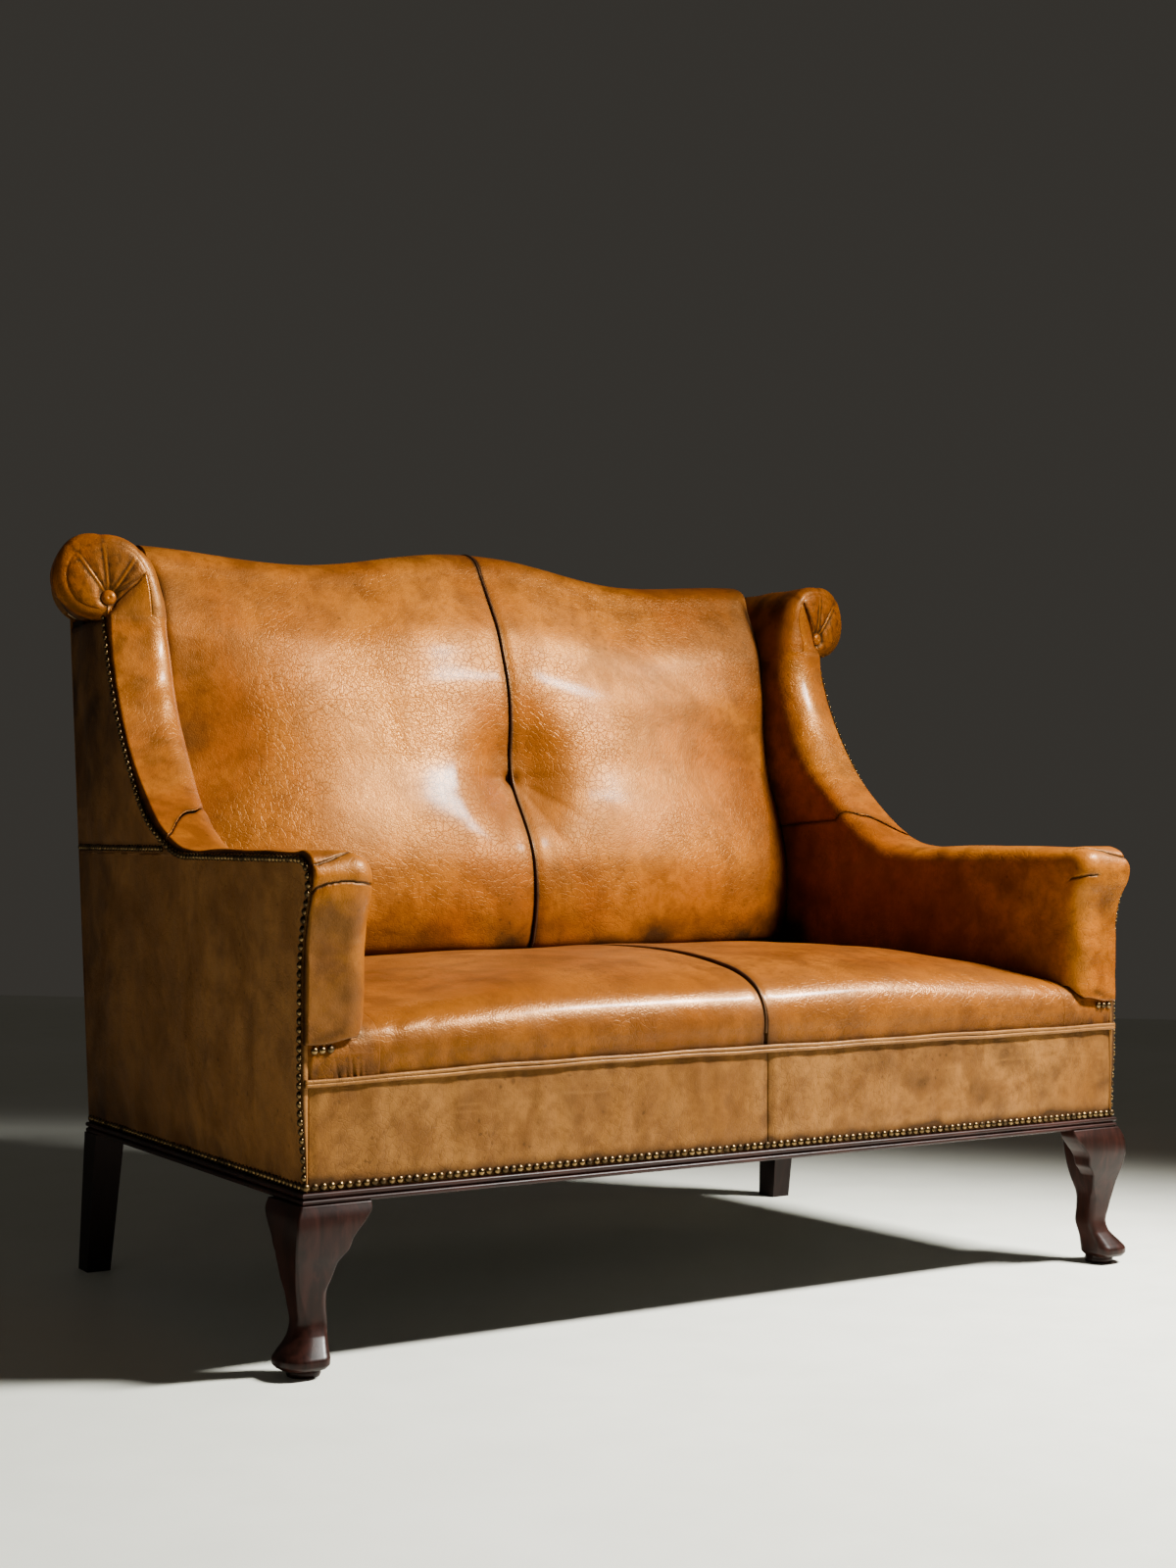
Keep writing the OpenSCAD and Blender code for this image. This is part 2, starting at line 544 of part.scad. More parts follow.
function half_x(s, u, y) = s * mix(s * seam_x + seam_half, inner_x(y) - soft_gap, u);
seat_stations = [for (i = [0 : 9]) sin(90 * pow(i / 9, 1.15))];
module seat_half(s) loft([for (u = seat_stations) [for (p = seat_section(u)) [half_x(s, u, p[0]), p[0], p[1]]]],
    flip = s > 0);
module seat_leather_right() color(TAN) placed() seat_half(1);
module seat_leather_left() color(TAN) placed() seat_half(-1);

// Piping with its flange, swept along a seam in the plane x = seam_x
key = [[-1, -piping_tail], [-1, 0], [-0.7, 0.7 * piping_r], [0, piping_r], [0.7, 0.7 * piping_r], [1, 0],
    [1, -piping_tail]];
function seam_dir(path, i) = let (a = path[max(i - 1, 0)], b = path[min(i + 1, len(path) - 1)])
    (b - a) / norm(b - a);
module seam_piping(path) loft([for (i = [0 : len(path) - 1]) let (d = seam_dir(path, i))
    [for (k = key) [seam_x + piping_r * k[0], path[i][0] - d[1] * k[1], path[i][1] + d[0] * k[1]]]]);
module seat_piping() color(PIPING) placed() seam_piping([for (i = [3 : len(seat_crown)]) seat_section(0)[i]]);

// Strips of seat leather that carry on under the arm facings to the corners
tab_back = stump_y - 3;
module front_tabs() color(TAN) placed() for (s = [0, 1]) mirror([s, 0, 0])
    plan_rail([[inner_x(seat_front) + soft_gap, seat_front],
        [side_x(seat_front, moulding_reveal) - leather_t, seat_front],
        [side_x(tab_back, moulding_reveal) - leather_t - soft_gap, tab_back],
        [inner_x(tab_back) + soft_gap, tab_back]],
        seat_base + soft_gap, arm_foot_z - seat_base - 2 * soft_gap);

// Double welt: two cords side by side on one flange
welt_y = 1.5;
welt_half = side_x(0, moulding_reveal) + 2;
module double_welt() color(TAN) placed() translate([-welt_half, 0, 0]) rotate([90, 0, 90])
linear_extrude(2 * welt_half) {
    translate([welt_y, border_top]) square([panel_in - welt_y, 4]);
    for (s = [-1, 1]) translate([welt_y, border_top + 2 + s * (welt_r - 0.2)]) circle(welt_r);
}

module border(x0, x1) plan_rail([[x0, moulding_reveal], [x1, moulding_reveal], [x1, panel_in], [x0, panel_in]],
    rail_z, border_h);
border_end = side_x(panel_in, panel_in) - soft_gap;
module border_left() color(TAN_SHADE) placed() border(-border_end, seam_x - soft_gap / 2);
module border_right() color(TAN_SHADE) placed() border(seam_x + soft_gap / 2, border_end);

// Back leather and stuffing. Each row: share of the height to the top line and the thickness
// in front of the outside back
back_form = [[0.000, 190], [0.012, 204], [0.061, 220], [0.114, 230], [0.167, 235], [0.228, 237],
    [0.279, 234], [0.326, 229], [0.371, 223], [0.414, 216.5], [0.480, 208], [0.542, 203], [0.604, 198],
    [0.666, 193], [0.730, 184], [0.794, 174], [0.860, 155], [0.928, 132], [0.982, 112], [1.000, 89],
    [1.002, 62], [0.995, 34]];
function back_span(u) = top_line(u * inner_x(frame_d)) - back_foot_z;
function falloff(u, z) = back_side_drop * pow(u, 3.6) * (1 - smooth((z - dimple_z) / (back_h - dimple_z)))
    + 5 * exp(-pow(u * 12, 2));
function dimple(u, z) = dimple_d * exp(-pow((z - dimple_z) / dimple_r, 2) - pow(u * inner_x(0) / dimple_r, 2));
function back_section(u) = concat(
    [for (r = back_form) let (z = back_foot_z + r[0] * back_span(u))
        [back_in(z, r[1]) + falloff(u, z) + dimple(u, z), z]],
    [let (z = back_foot_z + back_span(u) - lip) [back_in(z, leather_t + soft_gap), z],
     let (z = back_foot_z + back_span(u) - lip - crest_set + 1) [back_in(z, leather_t + soft_gap), z],
     let (z = back_foot_z + back_span(u) - lip - crest_set + 1) [back_in(z, back_web + 2 * strap_t + soft_gap), z],
     let (z = crest_low - 30) [back_in(z, back_web + 2 * strap_t + soft_gap), z],
     let (z = crest_low - 60) [back_in(z, pad_back), z],
     let (z = back_foot_z + 30) [back_in(z, pad_back), z],
     [back_in(back_foot_z, pad_back + 10), back_foot_z]]);
crest_turn = 16;
back_last = len(back_form) - 1;
back_caps = [concat([back_last + 5, back_last + 6, back_last + 7], [for (i = [0 : crest_turn]) i]),
    concat([back_last + 3, back_last + 4, back_last + 5], [for (i = [crest_turn : back_last + 2]) i])];
back_stations = [for (i = [0 : 13]) let (t = i / 13) mix(pow(t, 1.5), sin(90 * t), smooth(t))];
module back_half(s) loft([for (u = back_stations) [for (p = back_section(u)) [half_x(s, u, p[0]), p[0], p[1]]]],
    caps = back_caps, flip = s > 0);
module back_leather_right() color(TAN) placed() back_half(1);
module back_leather_left() color(TAN) placed() back_half(-1);
back_seam = [for (i = [1 : len(back_form) - 1]) back_section(0)[i]];
module back_piping() color(PIPING) placed() seam_piping(back_seam);

// Arm and wing padding: slices from the nail line inward. Outer slices wrap the frame
// boards, inner ones fill the whole side. Each outline point: place, normal and bulge
arm_line = [[[arm_front, arm_foot_z], [-1, 0], 5], [[arm_front, arm_foot_z + 60], [-1, 0], 6],
    [[arm_front - 1, arm_h - 95], [-1, 0], 7], [[arm_front - 4, arm_h - 65], [-1, 0], 9],
    [[arm_front - 9, arm_h - 43], [-0.97, 0.24], 12], [[arm_front - 11, arm_h - 25], [-0.92, 0.39], 13],
    [[arm_front - 7, arm_h - 9], [-0.75, 0.66], 12], [[arm_front + 5, arm_h - 1], [-0.4, 0.92], 9],
    [[arm_front + 22, arm_h], [0, 1], 7], [[wing_start * 0.4, arm_h], [0, 1], 7],
    [[wing_start * 0.75, arm_h], [0, 1], 7]];
function wing_bulge(i) = mix(7, 13, smooth(i / wing_steps * 2)) + 8 * smooth((i - 9) / 6);
function wing_line(a, b) = [for (i = [a : b]) [wing_point(i), wing_normal(i), wing_bulge(i)]];
// Point of an outline moved outward, or level where the piece is cut level
function moved(q, r, level) = level ? [q[0][0] - r / max(0.3, -q[1][0]), q[0][1]] : q[0] + r * q[1];
board_in = panel_in + board_t + soft_gap;
outer_a = panel_in + soft_gap;
slice_at = [outer_a, outer_a + 4, outer_a + 12, board_in];
inner_at = [board_in + 0.5, arm_t - edge_r, arm_t - edge_r * 0.5, arm_t - edge_r * 0.2, arm_t];
function slice_rise(a, bulge) = bulge - corner(bulge, a - outer_a) - corner(edge_r, arm_t - a);
function front_pts(line, a, low, high) = [for (i = [0 : len(line) - 1])
    moved(line[i], slice_rise(a, line[i][2]), (i == 0 && low) || (i == len(line) - 1 && high))];
function board_pts(line, low, high) = [for (i = [0 : len(line) - 1])
    moved(line[i], -edge_pad, (i == 0 && low) || (i == len(line) - 1 && high))];
function reversed(v) = [for (i = [len(v) - 1 : -1 : 0]) v[i]];
function at_a(a, pts) = [for (p = pts) [-a, p[0], p[1]]];
module edge_padding(line, far, low, high) on_side() loft(concat(
    [for (a = slice_at)
        at_a(a, concat(front_pts(line, a, low, high), reversed(board_pts(line, low, high))))],
    [for (a = inner_at) at_a(a, concat(front_pts(line, a, low, high), reversed(far)))]),
    caps = ladder(2 * len(line)));
function rear_line(z) = back_in(z, post_front) - 3;
// The arm's underside lies on its foot line, so its first point is moved level
arm_outline = concat(arm_line, wing_line(0, split_step - 1),
    [[wing_point(split_step) - [0, soft_gap], wing_normal(split_step), wing_bulge(split_step)]]);
low_count = 9;
arm_far = [for (i = [0 : len(arm_outline) - 1]) i < low_count
    ? [mix(arm_front + edge_pad + 6, rear_line(arm_foot_z), i / (low_count - 1)), arm_foot_z]
    : let (z = mix(arm_foot_z, wing_point(split_step)[1], (i - low_count + 1) / (len(arm_outline) - low_count)))
        [rear_line(z), z]];
module arm_pad_right() color(TAN) placed() edge_padding(arm_outline, arm_far, true, true);
module arm_pad_left() color(TAN) placed() on_left() edge_padding(arm_outline, arm_far, true, true);
wing_outline = wing_line(split_step, wing_steps);
wing_far = [for (q = wing_outline) [rear_line(q[0][1]), q[0][1]]];
module wing_pad_right() color(TAN) placed() edge_padding(wing_outline, wing_far, true, true);
module wing_pad_left() color(TAN) placed() on_left() edge_padding(wing_outline, wing_far, true, true);

// Scroll of the wing: the leather rises from the inner face, wraps the block and comes back
// to the wing's outer plane below. Each section: share of the length, share of the toe and
// how far its inner edge is rounded off
roll_rows = [[0, 1, 18], [0.06, 0.9, 6], [0.2, 0.5, 0], [0.45, 0, 0], [0.7, 0, 0], [1, 0, 0]];
roll_arc = 18;
roll_rise = 7;
block_wrap = (block_r / cos(roll_swing) + soft_gap) / cos(180 / roll_arc);
// Angle at which a line from below, at d before the centre, touches a circle of radius r
function tangent_angle(d, r) = atan2(d[1], d[0]) + asin(min(1, r / norm(d))) + 90;
// Inner side and top of a section as a curve from the wing's inner face to the scroll's top
function roll_outline(c, r, edge, end) = let (base = roll_bottom + soft_gap,
        foot = [-arm_t + edge, base], top = [c + r * cos(95), roll_z + r * sin(95)],
        curve = [foot, [foot[0] + 2, mix(base, top[1], 0.52)],
            [mix(top[0], foot[0], 0.67), top[1] - edge / 4], top])
    concat([for (i = [0 : roll_rise]) bezier(curve, i / (roll_rise + 1))],
        [for (i = [roll_rise : roll_arc]) let (a = mix(95, end, (i - roll_rise) / (roll_arc - roll_rise)))
            [c + r * cos(a), roll_z + r * sin(a)]]);
module wing_roll() {
    on_side() loft([for (k = roll_rows) let (y = roll_front + roll_len * k[0],
            c = roll_c(y), r = roll_rad(y), base = roll_bottom + soft_gap,
            low = tangent_angle([c + board_in, roll_z - base], block_wrap),
            end = -acos(max(-1, min(1, (-moulding_reveal - c) / r))))
        [for (q = concat(roll_outline(c, r, k[2], end),
            [for (i = [roll_arc - 1 : -1 : 0]) let (a = mix(low - 12, end + 6, i / (roll_arc - 1)))
                [c + block_wrap * cos(a), roll_z + block_wrap * sin(a)]],
            [[min(-board_in, c + block_wrap * cos(low)), roll_z + block_wrap * sin(low)], [-board_in, base]]))
            [q[0], k[0] == 1 ? back_in(q[1], back_web + soft_gap) : y + k[1] * (q[0] - c) * tan(face_toe),
             q[1]]]],
        caps = ladder(2 * roll_arc + 4));
}
module wing_roll_right() color(TAN) placed() wing_roll();
module wing_roll_left() color(TAN) placed() on_left() wing_roll();

// Pleated face of the scroll: puffs of leather drawn in to the button, and below them the
// plain end of the wing's facing. Each sector: two angles, steps and height of its puff
sectors = [[-58, 18, 6, 1], [18, 58, 4, 1], [58, 84, 4, 1], [84, 118, 4, 1], [118, 146, 4, 1], [146, 302, 12, 0.4]];
face_angles = [for (q = sectors) for (k = [0 : q[2] - 1]) mix(q[0], q[1], k / q[2])];
puff = [for (q = sectors) for (k = [0 : q[2] - 1]) q[3] * sin(180 * k / q[2])];
face_rings = [0, 0.14, 0.32, 0.52, 0.72, 0.88, 1];
face_flat = button_r + 0.8;
face_centre = [-button_in, -button_drop];
// Rim of the face, just inside the scroll's front section, about the scroll's centre
face_low = roll_bottom + 2 * soft_gap;
face_rim = [for (q = concat(roll_outline(roll_out, roll_r - 0.5, 18.5, -100), [[-arm_t + 18.5, face_low]]))
    [(q[0] - roll_out) / cos(face_toe), max(q[1], face_low) - roll_z]];
function cross_of(a, b) = a[0] * b[1] - a[1] * b[0];
// Distance from p along d to the piece of line from a to b, or 0 where it passes by
function hit(p, d, a, b) = let (e = b - a, den = cross_of(d, e))
    abs(den) < 0.000001 ? 0
    : let (t = cross_of(a - p, e) / den, u = cross_of(a - p, d) / den) u >= 0 && u <= 1 && t > 0 ? t : 0;
function rim(a) = max([for (i = [0 : len(face_rim) - 2])
    hit(face_centre, [cos(a), sin(a)], face_rim[i], face_rim[i + 1])]);
// Height of the pleated face over its rim plane, from the button's edge at t = 0
function face_depth(t, p) = t >= 1 ? 0 : face_dome * (0.6 + 0.4 * smooth(t / 0.45)) * pow(1 - pow(t, 2.6), 0.7)
    + 3.6 * p * pow(sin(180 * t), 0.8);
module rosette() {
    n = len(face_angles);
    m = len(face_rings);
    pts = concat(
        [for (t = face_rings) each [for (i = [0 : n - 1]) let (a = face_angles[i], d = mix(face_flat, rim(a), t))
            [d * cos(a) - button_in, -face_depth(t, puff[i]), d * sin(a) - button_drop]]],
        [[-button_in, -face_depth(0, 0), -button_drop]]);
    quads = [for (k = [0 : m - 2], i = [0 : n - 1]) let (j = (i + 1) % n)
        each [[k * n + i, k * n + j, (k + 1) * n + j], [k * n + i, (k + 1) * n + j, (k + 1) * n + i]]];
    centre = [for (i = [0 : n - 1]) [m * n, (i + 1) % n, i]];
    rear = [[for (i = [0 : n - 1]) (m - 1) * n + i]];
    on_side() translate([roll_out, roll_front, roll_z]) rotate([0, 0, face_toe])
        polyhedron(points = pts, faces = concat(quads, centre, rear));
}
module rosette_right() color(TAN) placed() rosette();
module rosette_left() color(TAN) placed() on_left() rosette();

module rosette_button() on_side() translate([roll_out, roll_front, roll_z]) rotate([0, 0, face_toe])
    translate([-button_in, -face_depth(0, 0) - soft_gap, -button_drop]) rotate([90, 0, 0]) rotate_extrude()
    intersection() {
        translate([0, 0]) square([button_r, button_r]);
        translate([0, 5 - button_r * 1.3]) circle(button_r * 1.3);
    }
module rosette_buttons() color(TAN) placed() {
    rosette_button();
    on_left() rosette_button();
}

// Outside panels of the arms, the wings and the back
module outside_panel() ahead_of_back(leather_t) side_slab(-panel_in, -moulding_reveal) children();
arm_panel_top = arm_h + 7;
module arm_panel() outside_panel() polygon(concat(
    [[moulding_reveal, rail_z], [2 * frame_d, rail_z], [2 * frame_d, arm_panel_top]],
    [[wing_offset(3, 0)[0], arm_panel_top]],
    [for (i = [2 : -1 : 0]) let (q = wing_point(i)) [q[0], min(q[1], arm_panel_top - 0.5)]],
    [[arm_front + 22, arm_h], [arm_front + 4, arm_h - 3], [arm_front, arm_h - 20], [arm_front, arm_h - 65],
     [moulding_reveal, arm_h - 110]]));
module outside_arm_right() color(TAN_SHADE) placed() arm_panel();
module outside_arm_left() color(TAN_SHADE) placed() on_left() arm_panel();
module wing_panel() outside_panel() polygon(concat(
    [[wing_offset(3, 0)[0] + 1, arm_panel_top + soft_gap]],
    [for (i = [4 : wing_steps]) wing_point(i)],
    [[2 * frame_d, roll_bottom], [2 * frame_d, arm_panel_top + soft_gap]]));
module outside_wing_right() color(TAN_SHADE) placed() wing_panel();
module outside_wing_left() color(TAN_SHADE) placed() on_left() wing_panel();

// The outside back also wraps the ends of the crest rail behind the scrolls
function back_edge(z) = side_x(back_y(z), moulding_reveal);
module back_outline() {
    top_outline(roll_z - 10, lip, crest_half + 25);
    polygon([[-back_edge(rail_z), 0], [back_edge(rail_z), 0], [back_edge(roll_z), up_back(roll_z)],
        [-back_edge(roll_z), up_back(roll_z)]]);
    for (s = [-1, 1]) translate([s * rear_roll_x, up_back(roll_z)]) circle(roll_rear_r);
}
module outside_back() color(TAN_SHADE) placed() {
    back_slab(0, leather_t) back_outline();
    back_slab(leather_t, back_web) intersection() {
        union() for (s = [-1, 1]) translate([s * rear_roll_x, up_back(roll_z)]) difference() {
            circle(roll_rear_r);
            circle(roll_rear_r - leather_t);
        }
        for (s = [-1, 1]) translate([s * (rear_roll_x + frame_w / 2) - frame_w / 2, up_back(crest_low + 12)])
            square([frame_w, 2 * roll_r]);
    }
}

module dust_cover() color([0.15, 0.14, 0.13]) placed() ahead_of_back(post_front + 2)
    plan_rail([[-side_x(moulding_d, moulding_d + soft_gap), moulding_d + soft_gap],
        [side_x(moulding_d, moulding_d + soft_gap), moulding_d + soft_gap],
        [side_x(frame_d, moulding_d + 8), frame_d], [-side_x(frame_d, moulding_d + 8), frame_d]],
        rail_z - 1.2, 1.2);

front_seat_rail();
side_seat_rail_left();
side_seat_rail_right();
back_seat_rail();
centre_cross_rail();
corner_blocks();
back_post_left();
back_post_right();
crest_rail();
back_tacking_rail();
back_centre_upright();
arm_stump_left();
arm_stump_right();
arm_rail_left();
arm_rail_right();
arm_tacking_rail_left();
arm_tacking_rail_right();
wing_upright_left();
wing_upright_right();
scroll_block_left();
scroll_block_right();
front_leg_left();
front_leg_right();
leg_brackets_left();
leg_brackets_right();
moulding_front();
moulding_left();
moulding_right();
seat_webbing();
seat_springs();
seat_hessian();
back_webbing();
back_springs();
seat_leather_left();
seat_leather_right();
seat_piping();
front_tabs();
double_welt();
border_left();
border_right();
back_leather_left();
back_leather_right();
back_piping();
arm_pad_left();
arm_pad_right();
wing_pad_left();
wing_pad_right();
wing_roll_left();
wing_roll_right();
rosette_left();
rosette_right();
rosette_buttons();
outside_arm_left();
outside_arm_right();
outside_wing_left();
outside_wing_right();
outside_back();
dust_cover();
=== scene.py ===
import json
import math

import bmesh
import bpy
import numpy as np
from mathutils import Matrix, Vector


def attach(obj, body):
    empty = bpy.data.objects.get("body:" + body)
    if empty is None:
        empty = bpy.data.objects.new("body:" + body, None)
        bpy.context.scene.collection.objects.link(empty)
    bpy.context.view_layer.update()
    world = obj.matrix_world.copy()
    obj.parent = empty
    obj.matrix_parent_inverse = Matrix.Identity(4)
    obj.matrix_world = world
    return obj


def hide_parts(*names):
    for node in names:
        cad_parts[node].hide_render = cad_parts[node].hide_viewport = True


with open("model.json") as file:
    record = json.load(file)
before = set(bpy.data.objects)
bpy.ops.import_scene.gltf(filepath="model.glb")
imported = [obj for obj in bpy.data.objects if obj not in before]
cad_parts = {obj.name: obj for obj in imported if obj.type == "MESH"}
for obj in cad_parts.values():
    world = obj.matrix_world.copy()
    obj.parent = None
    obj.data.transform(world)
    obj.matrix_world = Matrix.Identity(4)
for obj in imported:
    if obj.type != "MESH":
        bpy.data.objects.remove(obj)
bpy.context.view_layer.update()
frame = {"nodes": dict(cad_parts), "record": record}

NODES = frame["nodes"]
rng = np.random.default_rng(7)

# Sizes of the settee in millimetres. y runs from the face of the base moulding to the
# back; placed() moves points into the frame of the model, in metres.
FRAME_W, FRAME_D, SIDE_TAPER = 1300.0, 758.0, 25.0
LEG_H, MOULDING_H, MOULDING_D = 197.0, 14.0, 38.0
REVEAL, LEATHER_T, GAP = 5.0, 3.0, 0.3
BORDER_H, WELT_R, SEAT_RISE, SEAT_SIDE_DROP, SEAT_DEPTH = 129.0, 2.6, 118.0, 30.0, 612.0
SEAM_X, PIPING_R, PIPING_TAIL = 15.0, 2.6, 9.0
ARM_H, ARM_T, EDGE_PAD, EDGE_R = 595.0, 84.0, 22.0, 28.0
WING_START, WING_TOP = 370.0, 682.0
ROLL_Z, ROLL_R, ROLL_REAR_R, ROLL_OUT, ROLL_IN = 981.0, 60.0, 52.0, 13.0, 30.0
TOE = math.tan(math.radians(10.0))
BUTTON_R, BUTTON_DROP, BUTTON_IN = 10.5, 30.0, 11.0
BACK_H, HUMP_H, HUMP_W, END_RISE, RAKE = 1065.0, 36.0, 310.0, 13.0, math.radians(7.5)
DIMPLE_D, DIMPLE_Z, DIMPLE_R, BACK_SIDE_DROP = 32.0, 705.0, 78.0, 62.0
BRACKET_T, NAIL_R, NAIL_PITCH = 27.0, 4.7, 11.0

TAPER = math.atan(SIDE_TAPER / FRAME_D)
RAIL_Z = LEG_H + MOULDING_H
RAIL_TOP = RAIL_Z + 119.0
BORDER_TOP = RAIL_Z + BORDER_H
SEAT_BASE = BORDER_TOP + 4.0
SEAT_Z = SEAT_BASE + SEAT_RISE
PANEL_IN = REVEAL + LEATHER_T
ARM_FOOT = RAIL_TOP + 50.0
BACK_FOOT = SEAT_Z - 20.0
ROLL_FRONT = WING_TOP - 7.0
ROLL_BOTTOM = ROLL_Z - ROLL_R
POST_FRONT = LEATHER_T + 45.0
BACK_WEB = LEATHER_T + 25.0
OUTER_A = PANEL_IN + GAP
LIP = 18.0
CREST_SET = 24.0
PAD_BACK = BACK_WEB + 3.0 + 66.0 + GAP
CREST_LOW = ROLL_Z - ROLL_REAR_R + 2.0
UNDER_SEAT = RAIL_Z + 2.0 + 3.0 + 172.0 + 1.5 + GAP


def smooth(t):
    u = np.clip(t, 0.0, 1.0)
    return u * u * (3 - 2 * u)


def mix(a, b, t):
    return a + (b - a) * t


def bell(x, width):
    """1 where x is 0, falling to 0 on both sides."""
    return np.exp(-(x / width) ** 2)


def unit(v):
    return v / np.linalg.norm(v, axis=-1, keepdims=True)


def bezier(p, t):
    return ((1 - t) ** 3 * p[0] + 3 * t * (1 - t) ** 2 * p[1]
            + 3 * t * t * (1 - t) * p[2] + t ** 3 * p[3])


def side_x(y, inset):
    return FRAME_W / 2 - y * math.tan(TAPER) - inset / math.cos(TAPER)


def inner_x(y):
    return side_x(y, ARM_T)


def back_y(z):
    return FRAME_D + (z - RAIL_Z) * math.tan(RAKE)


def back_in(z, d):
    return back_y(z) - d / math.cos(RAKE)


MID_Y = (back_y(BACK_H - 18.0) - 23.0) / 2


def placed(points):
    p = np.array(points, float)
    p[..., 1] -= MID_Y
    return p * 0.001


def on_side(a, b, z):
    """Point of the right side: a outward from the moulding's plane, b along the side."""
    c, s = math.cos(TAPER), math.sin(TAPER)
    a, b, z = np.broadcast_arrays(np.asarray(a, float), b, z)
    return np.stack([FRAME_W / 2 + a * c - b * s, a * s + b * c, z], axis=-1)


def spline(rows, count=0, at=None):
    """Smooth curve through rows, sampled evenly along it or at given row numbers."""
    p = np.asarray(rows, float)
    step = np.linalg.norm(np.diff(p, axis=0).reshape(len(p) - 1, -1), axis=1)
    knots = np.r_[0, np.cumsum(np.maximum(step, 1e-6))]
    slope = np.gradient(p, knots, axis=0)
    t = np.linspace(0, knots[-1], count) if at is None else np.interp(at, np.arange(len(p)), knots)
    i = np.clip(np.searchsorted(knots, t, side="right") - 1, 0, len(p) - 2)
    h = (knots[i + 1] - knots[i])
    u = (t - knots[i]) / h
    shape = (len(t),) + (1,) * (p.ndim - 1)
    u, h = u.reshape(shape), h.reshape(shape)
    return ((2 * u ** 3 - 3 * u ** 2 + 1) * p[i] + (u ** 3 - 2 * u ** 2 + u) * h * slope[i]
            + (3 * u ** 2 - 2 * u ** 3) * p[i + 1] + (u ** 3 - u ** 2) * h * slope[i + 1])


def waves(p, length, seed):
    """Gentle unevenness between -1 and 1, of about the given length in millimetres."""
    r = np.random.default_rng(seed)
    total = np.zeros(p.shape[:-1])
    for _ in range(7):
        d = r.normal(size=3)
        d *= 2 * math.pi / length / np.linalg.norm(d) * r.uniform(0.6, 1.5)
        total += np.sin(p @ d + r.uniform(0, 6.28))
    return total / 3.2


def groove(p, path, width):
    """1 on a path of points and falling to 0 away from it."""
    path = np.asarray(path, float)
    best = np.full(p.shape[:-1], 1e9)
    for a, b in zip(path[:-1], path[1:]):
        ab = b - a
        t = np.clip(((p - a) @ ab) / (ab @ ab), 0, 1)
        best = np.minimum(best, np.linalg.norm(p - (a + t[..., None] * ab), axis=-1))
    return bell(best, width)


def on_surface(p, path, count=60):
    """The path with every point moved to the nearest point of the surface."""
    line = spline(path, count)
    flat = p.reshape(-1, 3)
    near = [int(np.argmin(((flat - q) ** 2).sum(axis=1))) for q in line]
    kept = [k for n, k in enumerate(near) if n == 0 or k != near[n - 1]]
    return flat[kept]


# ---------------------------------------------------------------- building pieces
def grid_faces(rows, cols, around=False, offset=0):
    faces = []
    for k in range(rows - 1):
        for i in range(cols if around else cols - 1):
            j = (i + 1) % cols
            faces.append([offset + k * cols + i, offset + k * cols + j,
                          offset + (k + 1) * cols + j, offset + (k + 1) * cols + i])
    return faces


def tube_faces(rings, around, offset=0):
    """Faces of a row of rings that is closed at both ends."""
    ends = [list(range(offset + k * around, offset + (k + 1) * around)) for k in (0, rings - 1)]
    return grid_faces(rings, around, True, offset) + ends


def slab(front, back):
    """Points and faces of a closed sheet between two grids."""
    rows, cols = front.shape[:2]
    k = rows * cols
    rim = ([i * cols for i in range(rows)] + [(rows - 1) * cols + j for j in range(1, cols)]
           + [i * cols + cols - 1 for i in range(rows - 2, -1, -1)] + list(range(cols - 2, 0, -1)))
    faces = grid_faces(rows, cols) + grid_faces(rows, cols, offset=k)
    faces += [[a, b, b + k, a + k] for a, b in zip(rim, rim[1:] + rim[:1])]
    return np.concatenate([front.reshape(-1, 3), back.reshape(-1, 3)]), faces


def piece(name, points, faces, finish, replaces=(), fields=None, flip=False):
    """A smooth mesh from millimetre points, riding on the body, with its finish.

    A field holds values from 0 to 1 for the visible points, which come first; the
    hidden points get 0.
    """
    points = np.asarray(points, float)
    placed_points = placed(points.reshape(-1, 3))
    if flip:
        placed_points[:, 0] *= -1
    mesh = bpy.data.meshes.new(name)
    mesh.from_pydata(placed_points.tolist(), [], [list(map(int, f)) for f in faces])
    for key, values in (fields or {}).items():
        full = np.zeros(points.shape[:-1], np.float32)
        if full.ndim == 2:
            full[:, :values.shape[1]] = np.clip(values, 0, 1)
        else:
            full[:values.size] = np.clip(values, 0, 1).ravel()
        layer = mesh.attributes.new(key, "FLOAT", "POINT")
        layer.data.foreach_set("value", full.ravel())
    bm = bmesh.new()
    bm.from_mesh(mesh)
    shade_smooth(bm, mesh)
    mesh.materials.append(finish)
    obj = bpy.data.objects.new(name, mesh)
    bpy.context.scene.collection.objects.link(obj)
    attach(obj, "root")
    if replaces:
        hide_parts(*replaces)
    return obj


def shade_smooth(bm, mesh):
    """Write a work mesh back with its normals outwards and its faces smooth."""
    bmesh.ops.recalc_face_normals(bm, faces=bm.faces)
    for f in bm.faces:
        f.smooth = True
    bm.to_mesh(mesh)
    bm.free()


